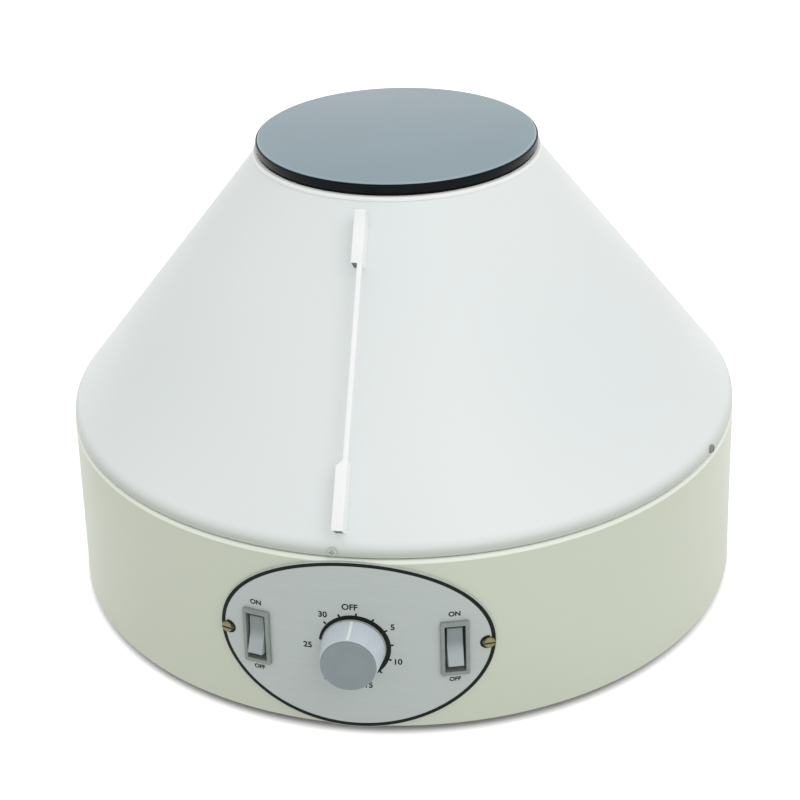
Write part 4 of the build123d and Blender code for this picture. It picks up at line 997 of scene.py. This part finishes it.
settle(marks, "base", "black_plastic", finishes["ink"])

# %% [markdown]
# ## Knob
# The timer knob is a tapered moulding with shallow flutes for the fingers, a flat grey cap pressed
# into its front and a pale pointer line down its side. A lathe profile gives the taper, and the
# flutes are a ripple on the radius of each column, which fades out before both ends. The knob is
# worked out standing up on its own axis, and then laid out from the plate along the wall's normal.

# %% Knob body
wall_lean = np.arctan2(shell_draft, shell_height)
knob_gap = 0.6
knob_base = 15.5
knob_tip = 13.5
knob_front = 16.59
cap_start = 15.0
cap_seat = 12.0
hollow_radius = 11.5
hollow_depth = 6.0
side_heights = (2.0, 3.0, 6.0, 10.0, 13.0)
flute_count = 48
flute_depth = 0.13
flute_low = 1.6
flute_high = cap_start - 0.9
flute_fade = 1.2
flute_reach = 12.5


def on_knob(points):
    """From the knob's own axes to the object's: z leaves the wall squarely, and y runs up it."""
    x, y, z = points[..., 0], points[..., 1], points[..., 2]
    foot = wall_reach(knob_height)
    out, rise = np.cos(wall_lean), np.sin(wall_lean)
    reach = z + plate_lift
    depth = -foot - reach * out + y * rise
    return np.stack([x, depth, knob_height + reach * rise + y * out], -1) * mm


def knob_reach(height):
    """Radius of the knob's tapered side at a height above the plate."""
    return knob_base - (height - knob_gap) / (knob_front - knob_gap) * (knob_base - knob_tip)


def fluted(line, segments):
    """A turned line whose radius dips by a ripple of cosines, as deep as a flute, on its side."""
    angle = np.linspace(0, 2 * pi, segments, endpoint=False)
    height = line[:, 1:]
    start = np.clip((height - flute_low) / flute_fade, 0, 1)
    end = np.clip((flute_high - height) / flute_fade, 0, 1)
    share = start * end * (line[:, :1] > flute_reach)
    ripple = 0.5 - 0.5 * np.cos(flute_count * (angle - pi / 2))
    reach = line[:, :1] - flute_depth * share * ripple
    x, y = reach * np.cos(angle), reach * np.sin(angle)
    return np.stack([x, y, np.broadcast_to(height, reach.shape)], -1)


side_rows = [(knob_reach(height), height) for height in side_heights]
knob_line = rounded(
    [(0, hollow_depth), (hollow_radius, hollow_depth), (hollow_radius, knob_gap),
     (knob_base, knob_gap)] + side_rows
    + [(knob_reach(cap_start), cap_start), (cap_seat, cap_start), (0, cap_start)],
    [0, 0.4, 0.3, 0.4] + [0] * len(side_rows) + [0.35, 0, 0])
knob_points = on_knob(fluted(knob_line, flute_count * 8))
knob = build("knob_body", [grid(knob_points, True, True)], crease=50)
settle(knob, "knob", "grey_knob", stands_for=["control_knob"])

# %% Knob cap and pointer line
cap_foot = cap_start - 0.4
cap_foot_reach = knob_reach(cap_start) - 0.25
cap_foot_round = 0.2
cap_round = 1.0
pointer_half = 0.65
pointer_root = -0.4
pointer_rise = 0.05
pointer_points = 12

cap_line = rounded([(0, cap_foot), (cap_foot_reach, cap_foot), (knob_tip, knob_front),
                    (0, knob_front)], [0, cap_foot_round, cap_round, 0])
cap = build("knob_cap", [grid(on_knob(turned_points(cap_line, 128) / mm), True, True)])
finishes["knob_cap"] = moulded("knob_cap_plastic", (129, 139, 143), (135, 145, 149), 0.4)
settle(cap, "knob", "grey_knob", finishes["knob_cap"])

pointer_heights = np.linspace(1.2, cap_start - 0.5, pointer_points)
pointer_reach = knob_reach(pointer_heights)
pointer_grid = np.stack([
    np.stack([np.full(pointer_points, x), np.sqrt((pointer_reach + rise) ** 2 - x ** 2),
              pointer_heights], -1)
    for x, rise in ((-pointer_half, pointer_root), (-pointer_half, pointer_rise),
                    (pointer_half, pointer_rise), (pointer_half, pointer_root))], 1)
last_row = 4 * (pointer_points - 1)
pointer_ends = ((0, 1, 2, 3), (last_row + 3, last_row + 2, last_row + 1, last_row))
pointer = build("knob_pointer", [grid(on_knob(pointer_grid), False, True, pointer_ends)])
finishes["pointer"] = moulded("pointer_ink", (236, 241, 244), (242, 246, 248), 0.4, 0.01)
settle(pointer, "knob", "white_grip", finishes["pointer"])
